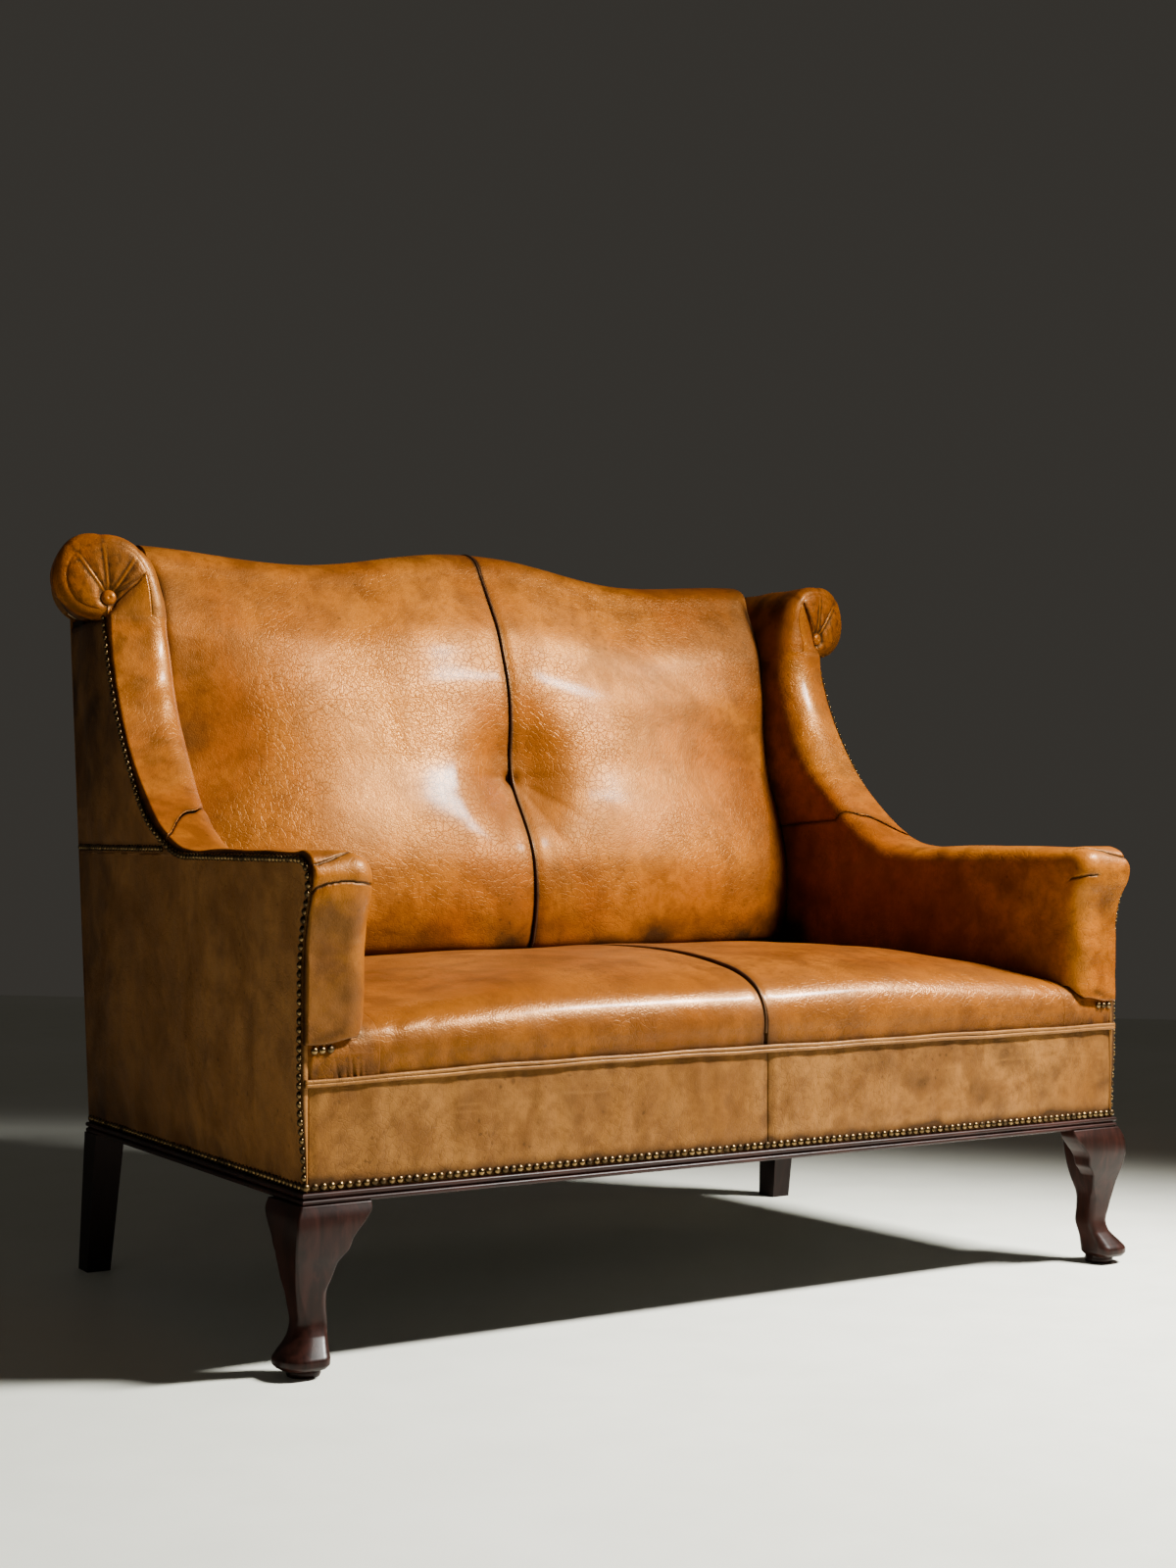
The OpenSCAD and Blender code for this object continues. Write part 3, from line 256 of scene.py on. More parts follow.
# ---------------------------------------------------------------- shader maths
class Value:
    """A socket whose arithmetic adds nodes."""

    def __init__(self, finish, socket):
        self.finish, self.socket = finish, socket

    def op(self, kind, *others):
        return self.finish.node("ShaderNodeMath", {"operation": kind}, [self, *others])

    def after(self, kind, first):
        return self.finish.node("ShaderNodeMath", {"operation": kind}, [first, self])

    def __add__(self, o): return self.op("ADD", o)
    def __radd__(self, o): return self.op("ADD", o)
    def __sub__(self, o): return self.op("SUBTRACT", o)
    def __rsub__(self, o): return self.after("SUBTRACT", o)
    def __mul__(self, o): return self.op("MULTIPLY", o)
    def __rmul__(self, o): return self.op("MULTIPLY", o)
    def __truediv__(self, o): return self.op("DIVIDE", o)
    def __rtruediv__(self, o): return self.after("DIVIDE", o)

    def ramp(self, low, high, to_low=0.0, to_high=1.0):
        return self.finish.node("ShaderNodeMapRange", {"interpolation_type": "SMOOTHSTEP"},
                                {"Value": self, "From Min": low, "From Max": high,
                                 "To Min": to_low, "To Max": to_high})


class Finish:
    """A material and its nodes."""

    def __init__(self, name, **constants):
        self.material = bpy.data.materials.new(name)
        self.material.use_nodes = True
        self.tree = self.material.node_tree
        self.shader = self.tree.nodes["Principled BSDF"]
        for key, value in constants.items():
            self.shader.inputs[key.replace("_", " ")].default_value = value

    def link(self, socket, value):
        if isinstance(value, Value):
            self.tree.links.new(value.socket, socket)
        elif isinstance(value, (tuple, list)):
            want = len(socket.default_value)
            socket.default_value = (tuple(value) + (1.0,))[:want]
        else:
            socket.default_value = value

    def node(self, kind, settings=None, sockets=None, out=0):
        n = self.tree.nodes.new(kind)
        for key, value in (settings or {}).items():
            setattr(n, key, value)
        pairs = sockets.items() if isinstance(sockets, dict) else enumerate(sockets or [])
        for key, value in pairs:
            self.link(n.inputs[key], value)
        return Value(self, n.outputs[out])

    def place(self, stretch=None):
        where = self.node("ShaderNodeTexCoord", out=3)
        if stretch:
            where = self.node("ShaderNodeMapping", {}, {"Vector": where, "Scale": stretch})
        return where

    def noise(self, scale, detail=3.0, rough=0.5, bend=0.0, where=None):
        return self.node("ShaderNodeTexNoise", {}, {"Vector": where or self.place(), "Scale": scale,
                         "Detail": detail, "Roughness": rough, "Distortion": bend})

    def cells(self, scale, where, feature="DISTANCE_TO_EDGE"):
        return self.node("ShaderNodeTexVoronoi", {"feature": feature},
                         {"Vector": where, "Scale": scale})

    def shaken(self, amount, scale):
        """Coordinates pushed about by noise, so that cells lose their straight edges."""
        swirl = self.node("ShaderNodeTexNoise", {},
                          {"Vector": self.place(), "Scale": scale, "Detail": 2.0}, out=1)
        push = self.node("ShaderNodeVectorMath", {"operation": "SCALE"},
                         {0: swirl, "Scale": amount})
        return self.node("ShaderNodeVectorMath", {"operation": "ADD"}, [self.place(), push])

    def blend(self, factor, a, b):
        return self.node("ShaderNodeMix", {"data_type": "RGBA"}, {0: factor, 6: a, 7: b}, 2)

    def field(self, name):
        return self.node("ShaderNodeAttribute", {"attribute_name": name}, out=2)

    def bump(self, height, distance, strength=1.0, normal=None):
        sockets = {"Height": height, "Distance": distance, "Strength": strength}
        if normal:
            sockets["Normal"] = normal
        return self.node("ShaderNodeBump", {}, sockets)

    def done(self, **inputs):
        for key, value in inputs.items():
            self.link(self.shader.inputs[key.replace("_", " ")], value)
        return self.material


FADED, FADED_DARK = (0.085, 0.035, 0.009), (0.040, 0.017, 0.006)


def leather(name, light, mid, dark, grime_and_shade, rough, creases=1.0, coat=0.02, shine=0.13):
    """Old leather. Its fields say where it is dirty and painted darker as shade, where it is rubbed
    and painted lighter as highlight, and where it is pale.
    """
    f = Finish(name, Specular_IOR_Level=0.45, Specular_Tint=(1.0, 0.42, 0.05, 1.0),
               Coat_Roughness=0.13)
    broad = f.noise(3.2, 4.0, 0.55, 0.6)
    blotch = f.noise(7.5, 4.0, 0.6, 0.9)
    mottle = f.noise(17.0, 5.0, 0.62, 0.4)
    freckle = f.noise(38.0, 5.0, 0.65, 0.5)
    fine = f.noise(95.0, 3.0, 0.6)
    soil, worn, faded = f.field("soil"), f.field("worn"), f.field("faded")
    network = f.cells(105.0, f.shaken(0.020, 45.0))
    small = f.cells(290.0, f.shaken(0.006, 120.0))
    cracks = 1.0 - network.ramp(0.0, 0.045)
    where_cracked = f.noise(6.0, 2.0).ramp(0.36, 0.60)
    tint = f.blend(broad.ramp(0.36, 0.62), mid, light)
    for share in (blotch.ramp(0.46, 0.70) * 0.62, mottle.ramp(0.42, 0.66) * 0.58,
                  freckle.ramp(0.44, 0.68) * 0.42, fine.ramp(0.45, 0.75) * 0.35,
                  cracks * where_cracked * 0.45):
        tint = f.blend(share, tint, dark)
    specks = 1.0 - f.cells(70.0, f.shaken(0.01, 60.0), "F1").ramp(0.08, 0.22)
    tint = f.blend(specks * blotch.ramp(0.45, 0.65) * 0.6, tint, grime_and_shade)
    tint = f.blend(faded, tint, f.blend(mottle.ramp(0.35, 0.7), FADED, FADED_DARK))
    # darker where dirty and where shade is painted in seams, creases, corners and under parts
    dirt_and_shade_share = soil * 1.35 * mottle.ramp(0.25, 0.75, 0.75, 1.25) + soil * soil * 0.3
    tint = f.blend(dirt_and_shade_share.op("MINIMUM", 1.0), tint, grime_and_shade)
    # lighter where rubbed and where a highlight is painted
    tint = f.blend(worn * fine.ramp(0.3, 0.7, 0.35, 0.7), tint, light)
    wrinkles = f.noise(58.0, 4.0, 0.6, 1.3)
    grain = f.noise(260.0, 3.0, 0.6)
    height = (small.ramp(0.0, 0.25) * 0.12 + grain * 0.10 + wrinkles * 0.55 * creases
              + network.ramp(0.0, 0.10) * 0.34 * creases * where_cracked.op("MAXIMUM", 0.25))
    soft = f.bump(blotch * 0.6 + mottle * 0.4, 0.0040, 0.5)
    gloss = (rough + blotch.ramp(0.4, 0.7) * 0.12 - fine.ramp(0.4, 0.7) * 0.03
             + soil * 0.14 + cracks * 0.06 - worn * 0.17)
    return f.done(Base_Color=tint, Roughness=gloss, Normal=f.bump(height, 0.00075, 0.85, soft),
                  Coat_Weight=(worn * shine + coat) * (1.0 - soil))


def polished_wood(name, light, mid, dark, rough, along=(9.0, 9.0, 1.2), coat=0.06):
    f = Finish(name, Coat_Roughness=0.2, Specular_IOR_Level=0.12, Coat_Weight=coat)
    where = f.place(along)
    growth = f.noise(7.0, 5.0, 0.62, 1.2, where)
    pores = f.noise(90.0, 2.0, 0.6, 0.2, where)
    patch = f.noise(5.0, 3.0)
    tint = f.blend(growth.ramp(0.35, 0.68), dark, mid)
    tint = f.blend(patch.ramp(0.5, 0.75) * 0.6, tint, light)
    tint = f.blend(pores.ramp(0.58, 0.7) * 0.5, tint, dark)
    normal = f.bump(pores * 0.5 + growth * 0.5, 0.0002, 0.5)
    return f.done(Base_Color=tint, Roughness=rough + patch.ramp(0.3, 0.7) * 0.14, Normal=normal)


def woven(name, light, dark, threads, rough=0.9):
    f = Finish(name)
    where = f.place()
    x, y, z = (f.node("ShaderNodeSeparateXYZ", {}, [where], axis) for axis in range(3))
    warp = ((x + z * 0.6) * threads).op("SINE")
    weft = ((y - z * 0.8) * threads).op("SINE")
    cloth = (warp * weft).ramp(-0.6, 0.6)
    tint = f.blend(cloth, dark, light)
    tint = f.blend(f.noise(30.0, 3.0).ramp(0.4, 0.7) * 0.35, tint, dark)
    return f.done(Base_Color=tint, Roughness=rough, Normal=f.bump(cloth, 0.0006, 0.7))


def metal(name, bright, dull, rough, spots=60.0):
    f = Finish(name, Metallic=1.0)
    age = f.noise(spots, 4.0, 0.6)
    tint = f.blend(age.ramp(0.4, 0.65), bright, dull)
    return f.done(Base_Color=tint, Roughness=rough + age.ramp(0.35, 0.7) * 0.25,
                  Normal=f.bump(f.noise(900.0, 2.0), 0.0001, 0.4))


TAN = leather("tan_leather", (0.270, 0.082, 0.004), (0.190, 0.045, 0.0015),
              (0.085, 0.020, 0.001), (0.018, 0.006, 0.002), 0.39)
# Darker copy of the tan leather for the seat: painted shade that holds down the stronger light on
# the seat's top
SEAT_SHADED = leather("seat_leather", (0.190, 0.056, 0.004), (0.132, 0.033, 0.002),
               (0.056, 0.015, 0.002), (0.016, 0.006, 0.003), 0.41, 0.9, shine=0.10)
FRONT = leather("front_leather", (0.195, 0.084, 0.020), (0.135, 0.052, 0.010),
                (0.060, 0.021, 0.005), (0.014, 0.006, 0.003), 0.46, 0.8)
# Lighter copy of the front leather for the outside panels: painted light that makes up for the dim
# light on the sides
SIDE_LIGHTENED = leather("side_leather_lightened", (0.290, 0.125, 0.032), (0.215, 0.089, 0.021),
               (0.120, 0.046, 0.011), (0.018, 0.008, 0.004), 0.50, 0.8)
PIPING = leather("piping_leather", (0.030, 0.012, 0.007), (0.020, 0.009, 0.006),
                 (0.010, 0.005, 0.003), (0.006, 0.003, 0.002), 0.40, 0.5, 0.05)
MAHOGANY = polished_wood("mahogany", (0.040, 0.013, 0.008), (0.022, 0.007, 0.005),
                         (0.008, 0.003, 0.002), 0.32)
MAHOGANY_X = polished_wood("mahogany_front", (0.045, 0.015, 0.009), (0.026, 0.008, 0.006),
                           (0.009, 0.003, 0.002), 0.32, (1.2, 9.0, 9.0))
STAINED = polished_wood("stained_beech", (0.016, 0.007, 0.005), (0.010, 0.004, 0.003),
                        (0.005, 0.002, 0.0015), 0.42, coat=0.02)
BEECH = polished_wood("beech", (0.62, 0.44, 0.26), (0.50, 0.34, 0.19), (0.33, 0.21, 0.11), 0.6,
                      (2.0, 9.0, 9.0), 0.0)
BRASS = metal("aged_brass", (0.17, 0.105, 0.040), (0.035, 0.022, 0.011), 0.24)
STEEL = metal("spring_steel", (0.36, 0.34, 0.32), (0.16, 0.11, 0.08), 0.4)
JUTE = woven("jute", (0.52, 0.39, 0.22), (0.30, 0.21, 0.11), 2600.0)
DUST = woven("dust_cloth", (0.045, 0.04, 0.036), (0.02, 0.018, 0.016), 3600.0)

# Finishes of the CAD's own meshes by their material slot
FINISHES = {"stained_beech": STAINED, "beech": BEECH, "webbing": JUTE, "spring_steel": STEEL,
            "dust_cloth": DUST, "mahogany": MAHOGANY, "tan_leather": TAN,
            "shaded_leather": FRONT, "piping_leather": PIPING}
for part in frame["record"]["subparts"]:
    node = NODES[part["node"]]
    node.data.materials.clear()
    node.data.materials.append(FINISHES[part["material_slot"]])
NODES["moulding_front"].data.materials[0] = MAHOGANY_X


# ---------------------------------------------------------------- seat
# Section of the seat: shares of its depth, of its rise and of the drop towards the arm
SEAT_CROWN = [[0.000, 0.000, 0.0], [0.000, 0.130, 0.1], [-0.002, 0.250, 0.2], [0.000, 0.370, 0.3],
              [0.008, 0.500, 0.4], [0.024, 0.620, 0.6], [0.055, 0.730, 0.8], [0.100, 0.820, 1.0],
              [0.165, 0.890, 1.1], [0.250, 0.950, 1.1], [0.340, 0.985, 1.1], [0.460, 1.000, 1.0],
              [0.600, 0.990, 0.9], [0.740, 0.945, 0.8], [0.860, 0.880, 0.6], [0.940, 0.810, 0.4],
              [0.985, 0.730, 0.2], [1.000, 0.640, 0.1]]
SEAT_FRONT = WELT_R + 2.0
# Pulls in the seat beside the arm's facing, with their widths
SEAT_PULLS = [([[547, -2, 372], [520, 12, 404], [495, 40, 425]], 7.0),
              ([[540, -2, 360], [505, 2, 380], [470, 12, 402]], 6.0)]
# Folds of the leather under the facing: place along x, lean and depth
CORNER_FOLDS = [(568, 5, 0.7), (575, 3, 1.1), (583, 7, 1.3), (592, 4, 0.8), (603, 9, 0.9)]


def spread(n, share=0.75):
    """Stations from 0 to 1, closer together at both ends."""
    t = np.linspace(0, 1, n)
    return mix(t, 0.5 - 0.5 * np.cos(math.pi * t), share)


def seam_edge(s):
    """Distance from the middle to the half of the cover on side s."""
    return s * SEAM_X + PIPING_R + GAP


def half_grid(s, form, stations, rows):
    """Skin of one half from the seam to the arm, with the distances to both."""
    yz = np.stack([spline(form(u), at=rows) for u in stations])
    u = stations[:, None] * np.ones(len(rows))
    wide = inner_x(yz[..., 0])
    x = s * mix(seam_edge(s), wide - GAP, u)
    return np.dstack([x, yz]), u * (wide - seam_edge(s)), (1 - u) * (wide - seam_edge(s))


def half_cover(name, node, finish, s, stations, skin, low, fields):
    """Close a half with the points low, in y and z, of its hidden side."""
    x = s * mix(seam_edge(s), inner_x(low[..., 0]) - GAP, stations[:, None])
    ring = np.concatenate([skin, np.dstack([x, low])], axis=1)
    obj = piece(name, ring, tube_faces(*ring.shape[:2]), finish, [node], fields)


def sag(x):
    """The front edge of the seat and its welts hang a little lower towards the left arm."""
    return np.interp(x, [-650, -560, -460, -370, -260, 0], [-6.0, -5.5, -3.2, -1.2, -0.3, 0.0])


def front_fade(p, z):
    """The seat's front has lost its colour below the edge, more so on the left."""
    return (0.42 * smooth((398 - z) / 34) * (0.75 + 0.25 * waves(p, 120, 10))
            * (1.15 - 0.5 * smooth((p[..., 0] + 100) / 500)))


def seat_form(u):
    """Front and top line of the seat at u, from the seam to the arm."""
    c = np.array(SEAT_CROWN)
    y = SEAT_FRONT + c[:, 0] * (SEAT_DEPTH - SEAT_FRONT)
    line = [y, SEAT_BASE + GAP + SEAT_RISE * c[:, 1] - SEAT_SIDE_DROP * c[:, 2] * u ** 3.2]
    return np.stack(line, axis=1)


def seat_half(s, label):
    stations = spread(90)
    rows = np.r_[np.linspace(0, 8, 60), np.linspace(8, 17, 56)[1:]]
    p, gap, to_arm = half_grid(s, seat_form, stations, rows)
    x, y, z = np.moveaxis(p.copy(), -1, 0)
    up = smooth((z - 360) / 60)
    p[..., 2] += (-3.2 * bell(gap, 8) * up
                  + 1.8 * waves(p, 210, 5) * up * np.minimum(1, to_arm / 40) * smooth(gap / 30))
    p[..., 2] -= 7 * bell(to_arm, 9) * up
    pucker = bell(z - 346, 15) + 0.5 * bell(z - 372, 26)
    p[..., 1] += (0.55 * pucker * np.sin(x / 5.2 + 2.5 * np.sin(x / 47.0)) * smooth(gap / 20)
                  * smooth(to_arm / 20))
    p[..., 1] += 1.2 * bell(z - 345, 5)
    p[..., 2] -= 1.6 * sum(groove(p, np.array(path) * [s, 1, 1], width)
                           for path, width in SEAT_PULLS)
    p[..., 2] += sag(x) * (1 - smooth((z - SEAT_BASE) / 40)) * (y < 60)
    # dirt, with painted shade in the seam, beside the arm, at the back and in the puckers above the
    # welt
    soil = (0.5 * bell(gap, 3) + 0.14 * bell(gap, 18)
            + 0.6 * bell(to_arm, 13) * smooth((z - 390) / 25))
    soil += 0.55 * bell(SEAT_DEPTH - y, 26) + 0.35 * bell(z - 348, 9)
    soil += 0.22 * smooth((y - 60) / 200) * smooth(1 - gap / 260) * (0.5 + 0.5 * waves(p, 60, 8))
    front = smooth((90 - y) / 60)
    # rubbed along the front roll, and painted lighter there as highlight
    worn = front * (0.9 * bell(z - 412, 26) * (0.6 + 0.4 * waves(p, 90, 9))
                    + 0.25 * smooth((z - 380) / 30))
    under = [[SEAT_DEPTH - 6, UNDER_SEAT], [MOULDING_D + 22, UNDER_SEAT],
             [MOULDING_D + 8, SEAT_BASE + GAP]]
    half_cover("seat_cover_" + label, "seat_leather_" + label, SEAT_SHADED, s, stations, p,
               np.tile(under, (len(stations), 1, 1)),
               {"soil": soil, "worn": worn, "faded": front_fade(p, z) * front})
    return p


def front_corner(s, label, seat):
    """Leather of the seat's front, drawn round under the arm to the corner of the frame."""
    cols, rows, thick = 70, 44, 9
    x_in, x_out = inner_x(0) - GAP - 16, side_x(0, REVEAL) - 0.5
    u = np.linspace(0, 1, cols)[:, None] * np.ones(rows)
    x = mix(x_in, x_out, u)
    lift = 8 + 6 * smooth((635 - x) / 34) + 17 * smooth((584 - x) / 18)
    z = mix(SEAT_BASE + GAP, ARM_FOOT + lift, np.linspace(0, 1, rows)[None, :])
    line = seat_form(1.0)[:9]
    near = seat[int(np.argmin(np.abs(seat[:, 0, 0] * s - x_in)))]
    near = near[:int(np.argmax(near[:, 2]))]
    outer = smooth(u / 0.35)
    y = mix(np.interp(z, near[:, 2], near[:, 1]), np.interp(z, line[:, 1], line[:, 0]), outer) - 0.2
    z = z + sag(s * x) * (1 - smooth((z - SEAT_BASE) / 40))
    q = np.stack([x, y, z], axis=-1)
    y = (y - 1.6 * outer * np.sin(math.pi * np.clip((z - 344) / 38, 0, 1))
         + 5.5 * smooth((u - 0.9) / 0.1) ** 2)
    for at, lean, depth in CORNER_FOLDS:
        fold = bell(x - at - lean * (z - 344) / 30, 1.7) * np.exp(-(z - 347) / 13)
        y = y + depth * fold * outer
    y = y + 0.5 * waves(q, 26, 91) * outer
    turned = bell(z - ARM_FOOT - lift + 11 - 2.0 * u, 3.0) * outer
    y = y - 1.0 * turned
    p = np.stack([s * x, y, z], axis=-1)
    points, faces = slab(p, p + [0, thick, 0])
    # painted shade in the puckers and under the arm's facing, with patchy dirt; the turned fold is
    # painted lighter as highlight
    soil = (0.35 * bell(z - 348, 9) + 0.5 * smooth((z - ARM_FOOT - 1) / 6) * outer
            + 0.25 * np.clip(waves(q, 22, 92), 0, 1) * outer)
    obj = piece("front_corner_" + label, points, faces, SEAT_SHADED,
                ["front_tabs"] if s > 0 else (),
                {"soil": soil, "worn": 0.5 * turned, "faded": front_fade(p, z)})


for s, label in ((1, "right"), (-1, "left")):
    front_corner(s, label, seat_half(s, label))


# ---------------------------------------------------------------- back
# Section of the back: shares of its height and distances in front of its rear face
BACK_FORM = [[0.000, 190], [0.012, 204], [0.061, 220], [0.114, 230], [0.167, 235], [0.228, 237],
             [0.279, 234], [0.326, 229], [0.371, 223], [0.414, 216.5], [0.480, 208], [0.542, 203],
             [0.604, 198], [0.666, 193], [0.730, 184], [0.794, 174], [0.860, 155], [0.928, 132],
             [0.982, 112], [1.000, 89], [1.002, 62], [0.995, 34]]
# Folds that run out from the sewn-in dimple: angle, depth, reach and width
DIMPLE_FOLDS = [(4, 3.4, 62, 7), (-33, 2.2, 75, 6), (38, 1.8, 60, 6), (-62, 1.5, 80, 6),
                (68, 1.2, 70, 6)]
# Polished spot of each half, also painted lighter as highlight: place along x and strength
POLISHED_SHEEN = {1: (95, 0.35), -1: (-190, 1.0)}


def top_line(x):
    a = np.abs(x)
    hump = np.where(a < HUMP_W, HUMP_H * (1 + np.cos(math.pi * a / HUMP_W)) / 2, 0)
    return BACK_H - HUMP_H + hump + END_RISE * smooth((a - HUMP_W) / (FRAME_W / 2 - 110 - HUMP_W))


def back_form(u):
    """Front and top line of the back at u, from the seam to the wing."""
    b = np.array(BACK_FORM)
    z = BACK_FOOT + b[:, 0] * (top_line(u * inner_x(FRAME_D)) - BACK_FOOT)
    y = (back_in(z, b[:, 1]) + BACK_SIDE_DROP * u ** 3.6
         * (1 - smooth((z - DIMPLE_Z) / (BACK_H - DIMPLE_Z))))
    y += 5 * np.exp(-(u * 12) ** 2)
    y += DIMPLE_D * bell(z - DIMPLE_Z, DIMPLE_R) * bell(u * inner_x(0), DIMPLE_R)
    return np.stack([y, z], axis=1)


def back_half(s, label):
    stations = spread(110)
    rows = np.r_[np.linspace(0, 17, 130), np.linspace(17, 21, 26)[1:]]
    p, gap, to_wing = half_grid(s, back_form, stations, rows)
    x, z = p[..., 0].copy(), p[..., 2].copy()
    face = smooth((1040 - z) / 60)
    p[..., 1] += (2.6 * bell(gap, 8) * face
                  + 2.4 * waves(p, 260, 15) * smooth(gap / 40) * smooth(to_wing / 60))
    p[..., 1] += 9 * bell(to_wing, 10) * face
    dx, dz = (x - s * seam_edge(s)) * s, z - DIMPLE_Z
    away = np.hypot(dx, dz)
    for angle, depth, reach, width in DIMPLE_FOLDS:
        turn = np.arctan2(dz, dx) - math.radians(angle)
        fold = depth * bell(away * np.sin(turn), width) * bell(away, reach)
        p[..., 1] += np.where(np.cos(turn) > 0, fold, 0)
    # painted shade in the seam, beside the wing and in the dimple; darker towards the bottom, the
    # top and the wing, in patches
    soil = 0.5 * bell(gap, 3) + 0.12 * bell(gap, 16) + 0.6 * bell(to_wing, 14)
    soil += 0.18 * bell(away, 40)
    soil += (0.75 * smooth((515 - z) / 70) * (0.6 + 0.4 * waves(p, 70, 21))
             + 0.25 * smooth((z - 1020) / 50))
    soil += (0.30 * smooth(1 - to_wing / 170) * (0.6 + 0.4 * waves(p, 90, 22))
             * smooth((1030 - z) / 60))
    soil -= 0.5 * bell(to_wing, 14) * smooth((z - 990) / 30)
    # rubbed spot where the highlight falls, painted lighter
    spot, strength = POLISHED_SHEEN[s]
    worn = strength * bell(x - spot, 105) * bell(z - 775, 120)
    faded = (0.28 * smooth((z - 900) / 130) * (0.6 + 0.4 * waves(p, 110, 23))
             + 0.25 * smooth(1 - to_wing / 90) * smooth((z - 600) / 200))
    crest = top_line(stations * inner_x(FRAME_D)) - LIP
    under = crest - CREST_SET + 1
    hidden = [(LEATHER_T + GAP, crest), (LEATHER_T + GAP, under), (BACK_WEB + 3 + GAP, under),
              (BACK_WEB + 3 + GAP, CREST_LOW - 30), (PAD_BACK, CREST_LOW - 60),
              (PAD_BACK, BACK_FOOT + 30), (PAD_BACK + 10, BACK_FOOT)]
    hidden = [(d, h + 0 * crest) for d, h in hidden]
    low = np.stack([np.stack([back_in(h, d), h], -1) for d, h in hidden], axis=1)
    half_cover("back_cover_" + label, "back_leather_" + label, TAN, s, stations, p, low,
               {"soil": soil, "worn": worn, "faded": faded})


back_half(1, "right")
back_half(-1, "left")


# ---------------------------------------------------------------- piping and welts
def seam_cord(name, node, form, rows, lift):
    """Piping along the line of a form at the seam, with a flat flange behind it."""
    sides, radius = 14, PIPING_R * 0.95
    yz = spline(form(0), at=rows)
    d = unit(np.gradient(yz, axis=0))
    yz = yz + np.stack([-d[:, 1], d[:, 0]], axis=1) * lift
    path = np.c_[np.full(len(yz), SEAM_X), yz]
    side = np.array([1.0, 0, 0])
    up = unit(np.cross(unit(np.gradient(path, axis=0)), side))
    turn = 2 * math.pi * (np.arange(sides) + 0.5) / sides + math.pi / 2
    ring = (path[:, None] + radius
            * (np.sin(turn)[:, None] * side + np.cos(turn)[:, None] * up[:, None]))
    half, start = radius * 0.55, radius * 0.3
    section = ((-half, start), (half, start), (half, PIPING_TAIL), (-half, PIPING_TAIL))
    flange = np.stack([path + w * side + d * up for w, d in section], axis=1)
    count = len(path)
    points = np.concatenate([ring.reshape(-1, 3), flange.reshape(-1, 3)])
    faces = tube_faces(count, sides) + tube_faces(count, 4, count * sides)
    piece(name, points, faces, PIPING, [node])


seam_cord("seat_seam_piping", "seat_piping", seat_form, np.linspace(1.2, 16.0, 200), -1.0)
seam_cord("back_seam_piping", "back_piping", back_form, np.linspace(1.0, 20.6, 260), -0.8)


def welt_cord(label, dz, replaces=()):
    sides, reach = 12, side_x(0, REVEAL) + 2
    x = np.linspace(-reach, reach, 420)[:, None]
    wobble = 0.5 * np.sin(x / 61.0 + dz) + 0.35 * np.sin(x / 23.0)
    a = 2 * math.pi * np.arange(sides) / sides
    r = WELT_R * (1 + 0.04 * np.sin(x / 4.0))
    ring = [x, 1.5 + 0.3 * np.sin(x / 37.0) + r * np.cos(a),
            BORDER_TOP + 2 + dz + wobble + sag(x) + r * np.sin(a)]
    ring = np.stack(np.broadcast_arrays(*ring), axis=-1)
    # painted shade on the half of each cord that turns back towards the border
    soil = np.tile(0.05 + 0.8 * (np.cos(a) > -0.1), (len(x), 1))
    piece("double_welt_" + label, ring, tube_faces(len(x), sides), FRONT,
          replaces, {"soil": soil, "worn": 0.25 + 0 * soil})


welt_cord("upper", WELT_R - 0.2, ["double_welt"])
welt_cord("lower", -WELT_R + 0.2)


# ---------------------------------------------------------------- front border
# Scratches in the border, in x and z
SCRATCHES = [[[-470, 300], [-330, 296]], [[-455, 291], [-360, 288]], [[-300, 304], [-235, 302]],
             [[330, 300], [450, 306], [560, 304], [630, 297]]]


def border(label, x0, x1):
    cols, rows = 220, 60
    x = np.linspace(x0, x1, cols)[:, None] * np.ones(rows)
    z = mix(RAIL_Z, BORDER_TOP - 0.3 + sag(x), np.linspace(0, 1, rows)[None, :])
    p = np.stack([x, np.full_like(x, REVEAL), z], axis=-1)
    back = p.copy()
    back[..., 1] = PANEL_IN
    edge = np.minimum(1, np.minimum(np.abs(x - x0), np.abs(x - x1)) / 12)
    p[..., 1] += (-1.3 * smooth((z - RAIL_Z - 10) / 25) * smooth((BORDER_TOP - z) / 18) * edge
                  + 0.7 * waves(p, 130, 31))
    p[..., 1] += 0.5 * waves(p * [1, 1, 0.35], 38, 32)
    p[..., 1] += 1.6 * (1 - edge)
    # darker along the foot by the nails, partly dirt and partly painted shade; painted shade under
    # the welt and in the middle seam; patchy dirt; darker at the left end's foot
    soil = (0.5 * smooth((RAIL_Z + 24 - z) / 14) + 0.4 * smooth((RAIL_Z + 12 - z) / 5)
            + 0.12 * smooth((z - 315) / 20) + 0.3 * bell(x - SEAM_X - 4, 9))
    soil += (0.35 * np.clip(waves(p * [1, 1, 1.6], 75, 33) - 0.15, 0, 1) * smooth(x / 300)
             + 0.14 * np.clip(waves(p, 30, 34), 0, 1))
    soil += 0.35 * smooth((-590 - x) / 40) * smooth((250 - z) / 40)
    worn = (sum(groove(p[..., [0, 2]], mark, 1.6) for mark in SCRATCHES)
            * (0.5 + 0.5 * waves(p, 30, 35)))
    points, faces = slab(p, back)
    piece("front_border_" + label, points, faces, FRONT, ["border_" + label],
          {"soil": soil, "worn": worn})


border_end = side_x(PANEL_IN, PANEL_IN) - GAP
border("left", -border_end, SEAM_X + 4)
border("right", SEAM_X + 4.6, border_end)


# ---------------------------------------------------------------- arms and wings
ARM_FRONT = 3.0
